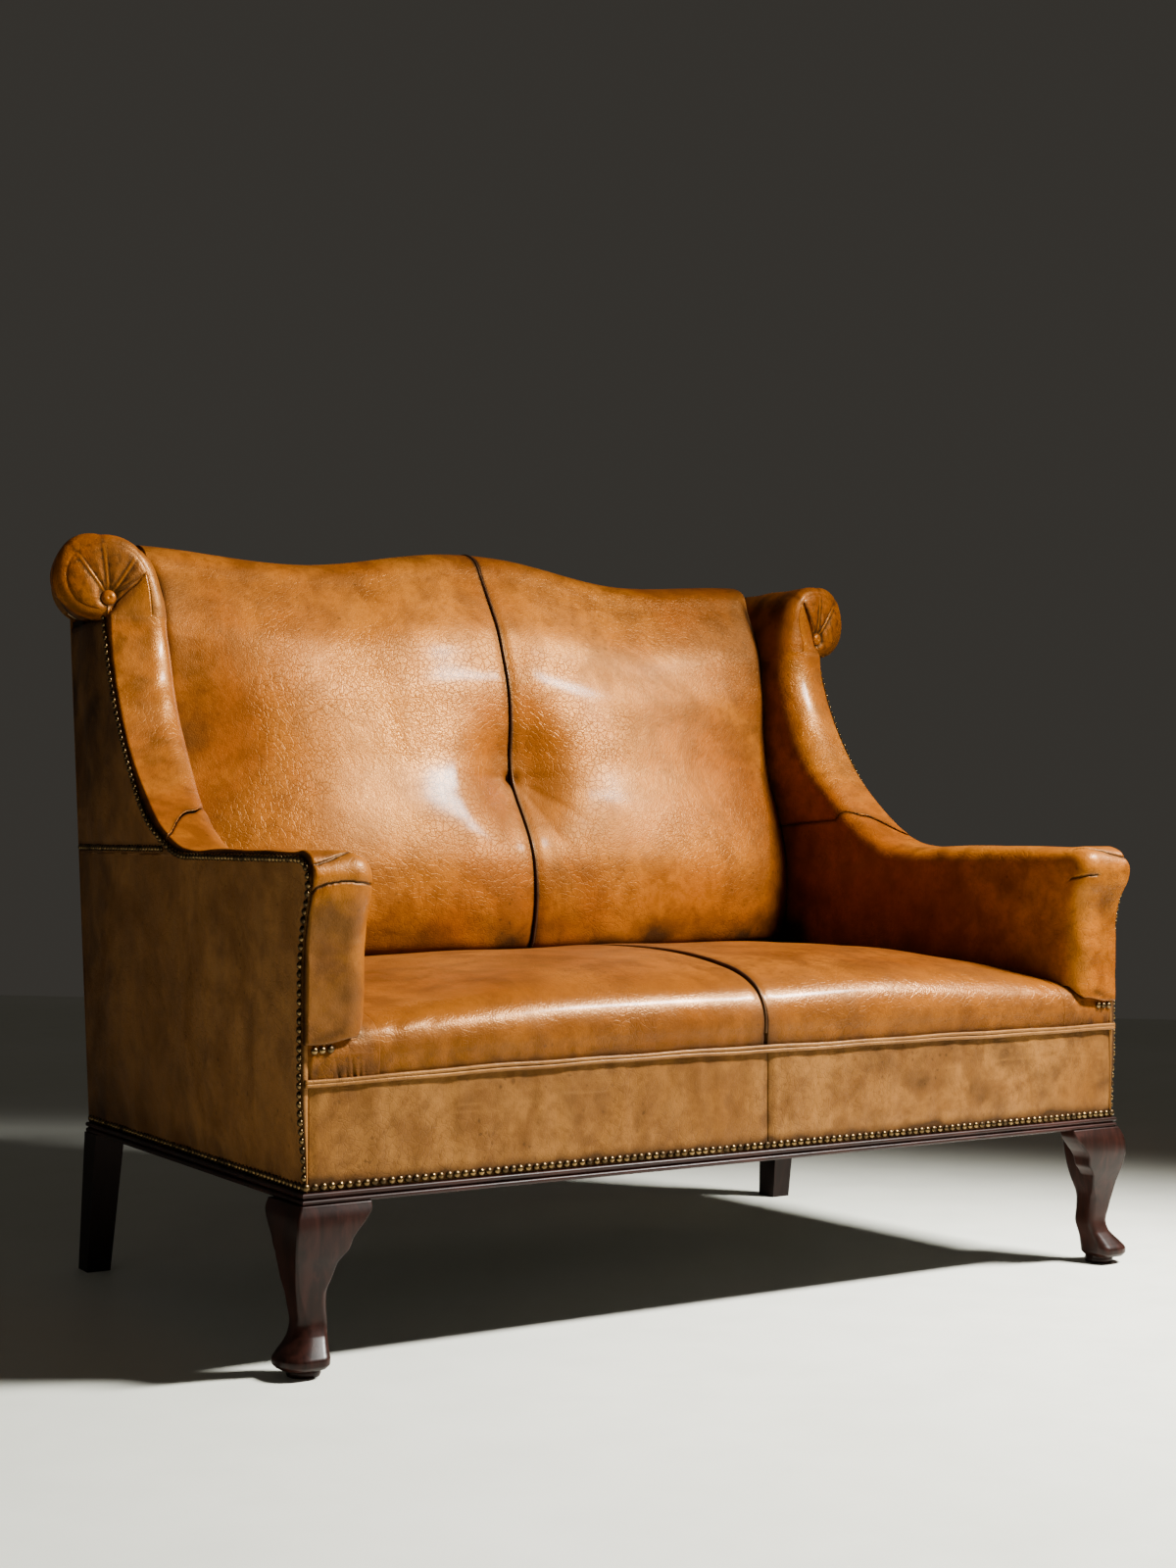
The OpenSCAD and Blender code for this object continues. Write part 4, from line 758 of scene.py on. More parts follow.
# Front and top line of the arm: y and z, its normal and the bulge of the padding
ARM_LINE = [[ARM_FRONT, ARM_FOOT, -1, 0, 5], [ARM_FRONT, ARM_FOOT + 60, -1, 0, 6],
            [ARM_FRONT - 1, ARM_H - 95, -1, 0, 7], [ARM_FRONT - 5, ARM_H - 65, -1, 0, 9],
            [ARM_FRONT - 12, ARM_H - 43, -0.97, 0.24, 13],
            [ARM_FRONT - 14, ARM_H - 25, -0.92, 0.39, 14],
            [ARM_FRONT - 8, ARM_H - 9, -0.75, 0.66, 12], [ARM_FRONT + 5, ARM_H - 1, -0.4, 0.92, 9],
            [ARM_FRONT + 22, ARM_H, 0, 1, 7], [WING_START * 0.4, ARM_H, 0, 1, 7],
            [WING_START * 0.75, ARM_H, 0, 1, 7]]
# Share of the bulge that the outer edge of the arm already has, by row of ARM_LINE
ARM_START = [0.0, 0.0, 0.3, 0.6, 0.6, 0.6, 0.5, 0.3]
WING_CURVE = np.array([[WING_START, ARM_H], [WING_START + 115, ARM_H + 2],
                       [WING_TOP - 47, ARM_H + 0.46 * (ROLL_BOTTOM - ARM_H)],
                       [WING_TOP, ROLL_BOTTOM]])
WING_STEPS, WING_ROW = 15, len(ARM_LINE)
SEAM_OUT, SEAM_IN, SEAM_TURN, SEAM_REAR = 0.19, 0.335, 0.05, 629.0


def wing_at(t):
    """Points of the wing's curve and its normals."""
    p, t = WING_CURVE, np.asarray(t, float)[..., None]
    d = unit((1 - t) ** 2 * (p[1] - p[0]) + 2 * t * (1 - t) * (p[2] - p[1]) + t * t * (p[3] - p[2]))
    return bezier(p, t), np.stack([-d[..., 1], d[..., 0]], axis=-1)


def wing_bulge(t):
    return 7 + 6 * smooth(2 * t) + 8 * smooth((t - 0.6) / 0.4)


def corner(r, d):
    """Drop of an edge rounded with radius r, at distance d before its end."""
    return r - np.sqrt(np.maximum(r * r - (r - np.clip(d, 0, r)) ** 2, 0))


def slice_rise(a, bulge, r=EDGE_R, start=0.0):
    """Height of the padding over its curve at depth a."""
    u = np.clip((a - OUTER_A) / OUTER_R, 0, 1)
    return bulge * (start + (1 - start) * np.sqrt(1 - (1 - u) ** 2)) - corner(r, ARM_T - a)


def wing_start(t):
    """Share of the wing's bulge that its outer edge already has."""
    return 0.62 * smooth((t - 0.35) / 0.3)


def rear_line(z):
    return back_in(z, POST_FRONT) - 3


def bow(a, b, z):
    """How far the soft side swells out over the moulding's plane."""
    swell = 6.5 * smooth((z - 222) / 100) + 6.0 * smooth((z - 585) / 60)
    return swell * smooth((a + 84) / 62) * smooth((back_y(z) - b) / 130)


def seam_at(a):
    """Place along the wing's curve of the seam between arm and wing, at depth a."""
    return (mix(SEAM_OUT, SEAM_IN, smooth((a - 6) / 50))
            + SEAM_TURN * smooth((a - ARM_T + EDGE_R) / EDGE_R))


# Depths of the slices across arm and wing, from the outer edge round the inner one
OUTER_R = 4.5
OUTER_SLICES = OUTER_A + 13 * (1 - np.cos(np.linspace(0, math.pi / 2, 15)))
MIDDLE_SLICES = np.linspace(OUTER_SLICES[-1], ARM_T - EDGE_R, 26)[1:]
TURN = np.linspace(0, math.pi / 2, 20)[1:]
DEPTHS = np.r_[OUTER_SLICES, MIDDLE_SLICES, ARM_T - EDGE_R + EDGE_R * np.sin(TURN)]
FACE_COLS = len(OUTER_SLICES) + len(MIDDLE_SLICES)
INNER_COLS = 54
INWARD = np.linspace(0, 1, INNER_COLS)[1:]


def outline_rows():
    rows = [list(r) for r in ARM_LINE]
    for t in np.arange(0, 8) / WING_STEPS:
        point, normal = wing_at(t)
        rows.append([*point, *normal, float(wing_bulge(t))])
    return rows


def arm_slice(a, at):
    """Front and top line of the arm at depth a."""
    out = []
    for i, (y, z, ny, nz, bulge) in enumerate(outline_rows()):
        r = float(slice_rise(a, bulge, start=ARM_START[i] if i < len(ARM_START) else 0.0))
        out.append([y - r, z] if i == 0 else [y + r * ny, z + r * nz])
    return spline(out, at=at)


def fan(line, hub):
    """Grid of two rows from a line of points to one point inside the body."""
    line = np.asarray(line, float)
    grid = np.stack([line, np.broadcast_to(hub, line.shape)])
    blank = np.zeros(grid.shape[:2])
    return grid, blank, blank


# Zone in which a joint is evened out: its lowest and highest point and its reach along x,
# with the longest edge of its mesh, in metres
NO_ZONE, HEAD_ZONE = (9.0, 9.0, 0.0), (0.902, 0.938, 0.606)
WELD, LONGEST, ROUNDS = 0.00002, 0.022, 14


def close_up(mesh, hub_at, zone):
    """Weld a cover, close its hidden side towards a point inside and even out a joint."""
    bm = bmesh.new()
    bm.from_mesh(mesh)
    bmesh.ops.remove_doubles(bm, verts=bm.verts, dist=WELD)
    edges = [e for e in bm.edges if len(e.link_faces) == 1]
    if edges:
        hub = bm.verts.new(placed(hub_at))
        for e in edges:
            bm.faces.new((e.verts[0], e.verts[1], hub))
    low, high, reach = zone
    joint = [v for v in bm.verts if low < v.co.z < high and abs(v.co.x) < reach
             and max(e.calc_length() for e in v.link_edges) < LONGEST]
    for _ in range(ROUNDS if joint else 0):
        bmesh.ops.smooth_vert(bm, verts=joint, factor=0.5,
                              use_axis_x=False, use_axis_y=True, use_axis_z=False)
    shade_smooth(bm, mesh)


def soft_cover(name, grids, inside, s, nodes, zone=NO_ZONE):
    """Weld grids of local points, with their dirt, wear and painted light and shade, into one cover
    of side s.
    """
    points, faces, count = [], [], 0
    for local, *_ in grids:
        points.append(on_side(*np.moveaxis(local, -1, 0)).reshape(-1, 3))
        faces += grid_faces(*local.shape[:2], offset=count)
        count += len(points[-1])
    points = np.concatenate(points)
    fields = {key: np.concatenate([grid[k].ravel() for grid in grids])
              for k, key in ((1, "soil"), (2, "worn"))}
    if s < 0:
        x, y, z = points.T
        fields["faded"] = (0.85 * smooth((48 - y) / 30) * smooth((555 - z) / 40)
                           * smooth((x - 560) / 40)
                           + 0.6 * smooth((672 - y) / 12) * smooth((z - 905) / 20)
                           + 0.2 * smooth((690 - y) / 30) * smooth((z - 640) / 60)
                           * smooth((915 - z) / 30))
    obj = piece(name, points, faces, TAN, nodes, fields, flip=s < 0)
    close_up(obj.data, on_side(*inside) * [s, 1, 1], zone)


def foot_lift(a):
    """The facing's lower edge rises over the front corner of the seat."""
    return 6 * smooth((-a - 30) / 34) + 17 * smooth((-a - 66) / 18)


# Pleats over the front end of the arm
UPPER_PLEAT = [[-8, -6, 578], [-14, -16, 586], [-28, -18, 593], [-44, -10, 598], [-60, 2, 601],
               [-70, 16, 600]]
LOWER_PLEAT = {1: [[-60, -24, 562], [-70, -18, 562], [-78, -8, 560], [-83, 4, 557]],
               -1: [[-8, -22, 556], [-18, -26, 561], [-34, -28, 565], [-52, -28, 566],
                    [-66, -22, 565], [-76, -10, 563], [-83, 10, 560]]}
FACING_CREASE = [[-20, -4, 384], [-34, -4, 388], [-50, -4, 392]]
# Lines along the arm's inner edge and top, rubbed and painted lighter where the highlight runs
RUBBED_SHEEN_EDGE = [[-70, -12, 585], [-76, -6, 560], [-80, -2, 500], [-80, 4, 420]]
RUBBED_SHEEN_TOP = [[-66, 40, 602], [-68, 160, 603], [-68, 280, 603]]
FOOT_END = 148


def arm_cover(s, label):
    skin = []
    for a in DEPTHS:
        last = WING_ROW + seam_at(a) * WING_STEPS
        at = np.r_[np.linspace(0, 3, 60), np.linspace(3, 8, 90)[1:], np.linspace(8, last, 120)[1:]]
        skin.append(arm_slice(a, at))
    skin = np.stack(skin)
    n = skin.shape[1]
    # hidden edge inside: back along the foot, then up the seam under the wing
    key = np.interp(np.arange(n), [0, FOOT_END, n - 1], [0, 1, 2])
    z = mix(ARM_FOOT, SEAM_REAR, np.clip(key - 1, 0, 1))
    foot = mix(ARM_FRONT + EDGE_PAD + 6, rear_line(ARM_FOOT), np.minimum(key, 1))
    far = np.stack([np.where(key <= 1, foot, rear_line(z)), z], 1)
    inner = mix(skin[-1][None], far[None], INWARD[:, None, None])
    a = np.r_[-DEPTHS, np.full(len(inner), -ARM_T)][:, None] * np.ones(n)
    p = np.dstack([a, np.concatenate([skin, inner])])
    q = p.copy()
    b, z = q[..., 1], q[..., 2]
    on_face = smooth((40 - b) / 30)
    inside = smooth((-a - 60) / 20)
    p[..., 2] += foot_lift(a) * np.exp(-np.maximum(z - ARM_FOOT, 0) / 26) * smooth((60 - b) / 40)
    upper, lower = on_surface(q, UPPER_PLEAT), on_surface(q, LOWER_PLEAT[s])
    g1, g2 = groove(q, upper, 1.5), groove(q, lower, 1.4)
    soft1, soft2 = groove(q, upper, 7), groove(q, lower, 7)
    p[..., 1] += (2.0 * g1 + 2.4 * g2 + 1.0 * soft1 + 1.4 * soft2) * on_face
    p[..., 2] -= (1.6 * g1 + 0.9 * soft1) * on_face
    p[..., 0] += 1.6 * (g1 + g2) * inside * on_face
    body = smooth((b - 20) / 120)
    p[..., 0] -= inside * (5.0 * body * smooth((z - ARM_FOOT) / 60) * smooth((610 - z) / 60)
                           + 1.4 * waves(q, 170, 41))
    p[..., 0] -= inside * 0.6 * waves(q, 55, 47) * body
    p[..., 2] += 1.1 * waves(q, 140, 42) * smooth((z - 560) / 30) * (1 - on_face)
    p[..., 1] += (0.9 * waves(q, 70, 43) + 0.35 * waves(q, 24, 46)) * on_face
    if s > 0:
        p[..., 0] += 9 * bell(z - 564, 26) * smooth((30 - b) / 30) * smooth((a + 60) / 50)
    to_seam = (n - 1 - np.arange(n))[None, :] * np.ones_like(a)
    at_seam, beside = bell(to_seam, 2.2), bell(to_seam, 7.0)
    p[..., 0] += (1.8 * at_seam + 0.8 * beside) * inside
    p[..., 2] -= (1.6 * at_seam + 0.8 * beside) * (1 - inside)
    p[..., 0] += bow(a, b, z)
    # painted shade in the pleats, the seam to the wing, the nailed outer edge, the arm's foot, the
    # rear corner and the crease, darker low on the inner face, with patches of dirt
    soil = (0.85 * g1 + 0.9 * g2 + 0.2 * soft1 + 0.2 * soft2) * on_face + 0.6 * at_seam
    soil += (0.6 * smooth((a + 10.5) / 2)
             + 0.55 * smooth((ARM_FOOT + 30 - z) / 30) * smooth((b - 20) / 20))
    soil += (0.8 * smooth((b - 560) / 60) * smooth((520 - z) / 80)
             + 0.2 * inside * smooth((480 - z) / 90))
    soil += (0.22 * on_face * bell(z - 530, 28) * smooth((a + 75) / 40)
             + 0.22 * np.clip(waves(q, 60, 48), 0, 1))
    soil += 0.5 * groove(q, FACING_CREASE, 6) * on_face
    # rubbed lines, painted lighter as highlight
    worn = 0.6 * groove(q, RUBBED_SHEEN_EDGE, 8) + 0.6 * groove(q, RUBBED_SHEEN_TOP, 12)
    soft_cover("arm_cover_" + label, [(p, soil, worn)], (-40, 330, 500), s, ["arm_pad_" + label])


# Scroll: sections of the wing's head, from its front plane to the crest rail
ROLL_LEN = back_in(ROLL_Z, BACK_WEB) - ROLL_FRONT
HEAD_BASE = ROLL_BOTTOM + GAP
CROWN_ANGLE = 95.0
RISE_ROWS, ARC_ROWS = 60, 96
WING_COLS, TONGUE_ROWS, FACE_RINGS = 110, 44, 40
FACE_FORWARD, RIM_R = 9.0, 14.0
# Sewn edge of the pleated face over the facing, and radius of the wing's inner edge, by side
SEAM_LINES = {1: [[-1.0, 922.5], [-2.5, 934], [-5, 948], [-9.5, 962], [-14.5, 977], [-19, 991],
                  [-24, 1004]],
              -1: [[-1.5, 922.5], [-4, 933], [-10, 945], [-24, 961], [-43, 977], [-56, 987],
                   [-64, 993]]}
WING_EDGE = {1: 46.0, -1: EDGE_R}
BUTTON = np.array([ROLL_OUT - BUTTON_IN, ROLL_Z - BUTTON_DROP])
PLEATS = [54.0, 84.0, 122.6]
# Points inside the wing and inside the scroll, to which hidden sides are closed
FOOT_HUB, HEAD_HUB = np.array([-45.0, 600.0, 640.0]), np.array([-35.0, 760.0, 955.0])


def head_section(depth):
    """Section of the head: rises from the wing's inner face, over the top and down outside."""
    c, r = mix(ROLL_OUT, -ROLL_IN, depth), mix(ROLL_R, ROLL_REAR_R, depth)
    end = -math.degrees(math.acos(max(-1, min(1, (-REVEAL - c) / r))))
    crown = math.radians(CROWN_ANGLE)
    foot = np.array([-ARM_T, HEAD_BASE])
    top = np.array([c + r * math.cos(crown), ROLL_Z + r * math.sin(crown)])
    curve = [foot, [foot[0] + 2, mix(HEAD_BASE, top[1], 0.52)],
             [mix(top[0], foot[0], 0.67), top[1]], top]
    rise = bezier(np.array(curve), np.linspace(0, 1, RISE_ROWS)[:, None])
    angle = np.radians(np.linspace(CROWN_ANGLE, end, ARC_ROWS))[1:, None]
    arc = np.concatenate([c + r * np.cos(angle), ROLL_Z + r * np.sin(angle)], axis=1)
    return np.concatenate([rise, arc])


def face_plane(a):
    return ROLL_FRONT + (a - ROLL_OUT) * TOE - FACE_FORWARD


def low_grid(soft_r):
    """Wing from its seam with the arm up to the scroll, sliced like the arm."""
    skin, across = [], []
    for k, depth in enumerate(DEPTHS):
        t = np.linspace(float(seam_at(depth)), 1, WING_COLS)
        point, normal = wing_at(t)
        r = mix(EDGE_R, soft_r, smooth((t - 0.40) / 0.4))
        if k < FACE_COLS:
            at = OUTER_A + (depth - OUTER_A) * (ARM_T - r - OUTER_A) / (ARM_T - EDGE_R - OUTER_A)
        else:
            at = ARM_T - r + r * math.sin(TURN[k - FACE_COLS])
        skin.append(point + normal * slice_rise(at, wing_bulge(t), r, wing_start(t))[:, None])
        across.append(-at)
    skin = np.stack(skin)
    far_z = mix(SEAM_REAR, ROLL_BOTTOM, np.linspace(0, 1, WING_COLS) ** 1.1)
    far = np.stack([rear_line(far_z), far_z], axis=1)
    inner = mix(skin[-1][None], far[None], INWARD[:, None, None])
    a = np.concatenate([np.stack(across), np.full((len(inner), WING_COLS), -ARM_T)])
    low = np.dstack([a, np.concatenate([skin, inner])])
    keep = np.r_[np.ones(len(DEPTHS)), 1 - INWARD][:, None]
    low[..., 1] += TOE * (a + 21) * smooth((low[..., 2] - 640) / 250) * keep
    low[..., 1] -= 6.7 * np.clip((low[..., 2] - 871) / 50, 0, 1) ** 2 * keep
    return low


def head_grid(soft_r, edge):
    """Scroll, whose columns turn round its front edge and run back to the crest rail.

    Its first rows are drawn onto the edge of the wing. Also gives how far each row is
    drawn and the front plane at each row.
    """
    sections = np.stack([head_section(d) for d in np.linspace(0, 1, 28)])
    front, last = sections[0], len(sections) - 1
    row = np.arange(len(front))
    tangent = unit(np.gradient(front, axis=0))
    inward = np.stack([tangent[:, 1], -tangent[:, 0]], axis=1)
    radius = mix(soft_r, RIM_R, smooth((front[:, 1] - 930) / 110))
    radius = np.where(row > RISE_ROWS, RIM_R, radius)
    plane = face_plane((front + inward * radius[:, None])[:, 0])
    head = []
    for phi in np.r_[0, TURN]:
        q = front + inward * (radius * (1 - math.sin(phi)))[:, None]
        head.append(np.stack([q[:, 0], plane + radius * (1 - math.cos(phi)), q[:, 1]], axis=1))
    for f in INWARD:
        y = mix(plane + radius, ROLL_FRONT + ROLL_LEN, f)
        d = np.clip((y - ROLL_FRONT) / ROLL_LEN, 0, 1) * last
        i = np.clip(d.astype(int), 0, last - 1)
        q = mix(sections[i, row], sections[i + 1, row], (d - i)[:, None])
        rear = back_in(q[:, 1], BACK_WEB + GAP)
        head.append(np.stack([q[:, 0], np.where(f == 1, rear, np.minimum(y, rear)), q[:, 1]],
                             axis=1))
    head = np.stack(head)
    drawn = 1 - smooth(row / (RISE_ROWS * 0.42))
    return head + (edge - head[:, 0])[:, None] * drawn[None, :, None], drawn, plane


def tongue_grid(s, edge, rim, tip):
    """Facing above the wing, a tongue that ends at the sewn edge of the pleated face.

    Also gives the distance of its points from that edge.
    """
    v, u = np.linspace(0, 1, TONGUE_ROWS), np.linspace(0, 1, FACE_COLS)
    foot = edge[:, [0, 2]]
    foot[:, 0] += bow(*edge.T)
    seam = spline(SEAM_LINES[s], FACE_COLS)
    seam = seam + (foot[0] - seam[0]) * (1 - smooth(u / 0.2))[:, None]
    seam = seam + (rim[tip, [0, 2]] - seam[-1]) * smooth((u - 0.6) / 0.4)[:, None]
    side = along_rim(rim, tip, v)
    flat = mix(foot[:, None], seam[:, None], v[None, :, None])
    off = side[:, [0, 2]] - mix(foot[-1], seam[-1], v[:, None])
    flat = flat + (u ** 1.6)[:, None, None] * off[None]
    ahead_of, fade = edge[:, 1] - face_plane(foot[:, 0]), 1 - smooth(v * 1.25)
    y = face_plane(flat[..., 0]) + ahead_of[:, None] * fade[None, :]
    lag = side[:, 1] - face_plane(flat[-1, :, 0]) - ahead_of[-1] * fade
    y += (u ** 3)[:, None] * lag[None, :]
    return (np.dstack([flat[..., 0], y, flat[..., 1]]),
            (1 - v)[None, :] * np.linalg.norm(seam - foot, axis=1)[:, None])


def along_rim(rim, tip, v):
    """Points at the shares v of the rim up to its row tip."""
    rows = np.arange(tip + 1)
    return np.stack([np.interp(v * tip, rows, rim[:tip + 1, k]) for k in range(3)], axis=1)


def pleated_face(ring):
    """Round face gathered from its ring to the button, with its hollow, painted shade round the
    button and beside the pleats, dirt, and the pleats' ridges painted lighter as highlight.
    """
    reach = (np.linspace(0, 1, FACE_RINGS) ** 0.92)[:, None]
    delta = ring[:, [0, 2]] - BUTTON
    dist = np.linalg.norm(delta, axis=1)
    angle = np.arctan2(delta[:, 1], delta[:, 0])
    radial = mix(BUTTON_R * 0.7, dist[None, :], reach)
    flat = BUTTON + radial[..., None] * (delta / dist[:, None])[None]
    base = face_plane(flat[..., 0]) + (ring[:, 1] - face_plane(ring[:, 0]))[None, :] * reach ** 2.2
    hump = np.sin(math.pi * reach) ** 0.5
    apart = np.full(radial.shape, 99.0)
    for mark, spare in [(math.radians(m), 0.0) for m in PLEATS] + [(angle[0], 2.0)]:
        off = radial * np.abs(np.sin(angle - mark)) + spare
        apart = np.minimum(apart, np.where(np.cos(angle - mark) > 0, off, 99.0))
    line = bell(apart, 1.7)
    gather = bell(apart, 7.0) * bell(radial, 60)
    rise = (3.4 + 1.2 * smooth(apart / 16)) * hump * np.minimum(1, dist / 45)[None, :]
    rise += (1.1 * line - 1.6 * gather) * hump - 2.8 * bell(radial - BUTTON_R, 6)
    rise += 0.5 * waves(np.dstack([flat, 0 * base]), 26, 64) * hump
    face = np.dstack([flat[..., 0], base - rise, flat[..., 1]])
    face[-1] = ring
    shade = (0.75 * bell(radial - BUTTON_R, 3.5) + 0.55 * bell(apart - 3.2, 1.6) * hump
             + 0.25 * gather)
    shade += 0.35 * np.clip(waves(face, 15, 62) + 0.1, 0, 1) * (1 - line)
    # the pleats' ridges go in as the painted highlight
    around = [np.swapaxes(np.concatenate([g, g[:, :1]], axis=1), 0, 1)
              for g in (face, shade, line * hump)]
    return around, float(base[0].mean() - rise[0].mean())


def wing_cover(s, label):
    soft_r = WING_EDGE[s]
    low = low_grid(soft_r)
    head, drawn, plane = head_grid(soft_r, low[FACE_COLS - 1:, -1])
    to_seam = head[0][:RISE_ROWS, [0, 2]] - SEAM_LINES[s][-1]
    tip = int(np.argmin(np.linalg.norm(to_seam, axis=1)))
    tongue, from_top = tongue_grid(s, low[:FACE_COLS, -1], head[0], tip)
    # unevenness of the wing, with dirt, painted shade in the seam, along the nailed edge and
    # towards the back, and a painted highlight along its crest
    q = low.copy()
    a, b, z = np.moveaxis(q, -1, 0)
    inside = smooth((-a - 60) / 20)
    from_seam = np.arange(WING_COLS)[None, :] * np.ones_like(a)
    at_seam, beside = bell(from_seam, 1.5), bell(from_seam, 5)
    low[..., 0] += (1.8 * at_seam + 0.8 * beside) * inside
    low[..., 2] += 0.6 * beside * (1 - inside)
    low[..., 0] -= inside * (3.2 * smooth((z - 650) / 60) * smooth((925 - z) / 60)
                             + 1.3 * waves(q, 150, 51))
    ripple = np.sin(z / 8.0 + 2 * np.sin(z / 47.0))
    low[..., 1] += 0.9 * ripple * bell(a + 70, 12) * smooth((z - 690) / 60) * smooth((880 - z) / 60)
    low[..., 1] += 1.1 * waves(q, 110, 52) * smooth((910 - z) / 40)
    low[..., 0] += bow(a, b, z)
    low_dirt_shade = 0.6 * at_seam + 0.6 * smooth((a + 10.5) / 2) + 0.25 * np.clip(waves(q, 45, 53), 0, 1)
    low_dirt_shade += 0.5 * smooth((b - rear_line(z) + 26) / 24) * inside
    low_wear_sheen = (0.9 * bell(a + ARM_T - 0.62 * soft_r, 15) * smooth((z - 700) / 80)
                * (0.6 + 0.4 * waves(q, 40, 54)))
    # and of the scroll, with dirt, painted shade in its pleats and crease, under the roll and
    # towards the back, and a painted highlight on its rim
    q = head.copy()
    blend = (1 - drawn)[None, :]
    deep = q[..., 1] - plane[None, :]
    out = q[..., [0, 2]] - [ROLL_OUT, ROLL_Z]
    out /= np.maximum(np.linalg.norm(out, axis=-1, keepdims=True), 1)
    turn = np.degrees(np.arctan2(q[..., 2] - BUTTON[1], q[..., 0] - BUTTON[0]))
    pleat = sum(bell(turn - mark, 2.6) for mark in PLEATS)
    sink = 1.5 * pleat * np.exp(-np.maximum(deep, 0) / 14) - 1.0 * waves(q, 70, 61)
    sink -= (9.0 * smooth((out[..., 0] + 0.1) / 0.5) * bell(deep - 52, 34)
             * smooth((out[..., 1] + 0.9) / 0.5))
    sink *= blend * smooth(deep / 6)
    head[..., 0] -= sink * out[..., 0]
    head[..., 2] -= sink * out[..., 1]
    rim_crease = (bell(deep - 5, 2.2) * smooth((-out[..., 1] - 0.1) / 0.2)
                  * smooth(out[..., 0] / 0.2))
    head[..., 1] += 0.5 * rim_crease
    head_dirt_shade = (0.4 * pleat * np.exp(-np.maximum(deep, 0) / 12) + 0.3 * rim_crease
                 + 0.3 * np.clip(waves(q, 40, 63), 0, 1)) * blend
    head_dirt_shade += (0.3 * smooth((-out[..., 1] - 0.4) / 0.4)
                  + 0.5 * smooth((q[..., 1] - back_in(q[..., 2], 80)) / 26))
    head_wear_sheen = 0.4 * bell(deep - 8, 6) * blend * (1 - pleat)
    # and of the tongue, with dirt, painted shade along its sewn and outer edges, and a painted
    # highlight along its inner edge
    u = np.linspace(0, 1, FACE_COLS)[:, None]
    v = np.linspace(0, 1, TONGUE_ROWS)
    above = smooth(v * 3)[None, :]
    sewn = bell(from_top, 2.2) * above
    tongue_dirt_shade = (0.7 * sewn + 0.2 * bell(from_top, 12) + 0.3 * smooth((0.05 - u) / 0.05)
                   + 0.3 * np.clip(waves(tongue, 30, 55), 0, 1))
    tongue_wear_sheen = 0.9 * bell(u - 0.95, 0.2) * np.ones(TONGUE_ROWS)
    tongue[..., 1] += 1.8 * sewn + 0.9 * bell(from_top, 8) * above
    # pleated face round the button
    lip = head[0, tip:]
    close = np.linspace(lip[-1], tongue[0, 0], 12)[1:-1]
    face, seat = pleated_face(np.concatenate([lip, close, tongue[:-1, -1]]))
    # join the grids and close the hidden side
    tongue[-1] = along_rim(head[0], tip, v)
    low[:FACE_COLS, -1] = tongue[:, 0]
    low[FACE_COLS - 1:, -1] = head[:, 0]
    hidden = low[-1].copy()
    hidden[:, 0] = -PANEL_IN - 2
    strip = np.stack([low[0], hidden, low[-1]])
    blank = np.zeros(strip.shape[:2])
    grids = [(low, low_dirt_shade, low_wear_sheen), (head, head_dirt_shade, head_wear_sheen),
             (tongue, tongue_dirt_shade, tongue_wear_sheen), face, (strip, blank, blank)]
    grids += [fan(line, FOOT_HUB) for line in (low[:, 0], strip[:, 0])]
    grids += [fan(line, HEAD_HUB) for line in
              (head[:, -1], head[-1], strip[:, -1], tongue[0],
               np.concatenate([lip[-1:], close, tongue[0, :1]]))]
    soft_cover("wing_cover_" + label, grids, HEAD_HUB, s,
               ["wing_pad_" + label, "wing_roll_" + label, "rosette_" + label], HEAD_ZONE)
    button_cover(s, label, seat)


def button_cover(s, label, seat):
    rows, around, toe = 16, 36, math.atan(TOE)
    f = np.linspace(0, 1, rows)
    r = BUTTON_R * np.sin(f * math.pi / 2 * 1.15)
    h = 5.6 * np.cos(f * math.pi / 2 * 1.15) - 1.6 * bell(r, 2.2)
    g = 2 * math.pi * np.arange(around) / around
    x, z = r[1:, None] * np.cos(g), r[1:, None] * np.sin(g)
    y = seat - 0.8 - h[:, None]
    dome = on_side(BUTTON[0] + x * math.cos(toe), y[1:] + x * math.sin(toe), BUTTON[1] + z)
    points = np.concatenate([dome.reshape(-1, 3), on_side(BUTTON[0], y[0, 0], BUTTON[1])[None]])
    m = rows - 1
    faces = tube_faces(m, around)[:-2]
    faces += [[i, (i + 1) % around, m * around] for i in range(around)]
    faces += [[(m - 1) * around + i for i in range(around)]]
    # painted shade round the button's rim where it sinks in, and its top painted lighter as
    # highlight
    soil = 0.8 * np.repeat(smooth((f[1:] - 0.65) / 0.35), around)
    worn = 0.7 * np.repeat(1 - f[1:], around)
    piece("scroll_button_" + label, points, faces, TAN,
          ["rosette_buttons"] if s > 0 else (),
          {"soil": soil, "worn": np.r_[worn, 0.7]}, flip=s < 0)


for s, label in ((1, "right"), (-1, "left")):
    arm_cover(s, label)
    wing_cover(s, label)


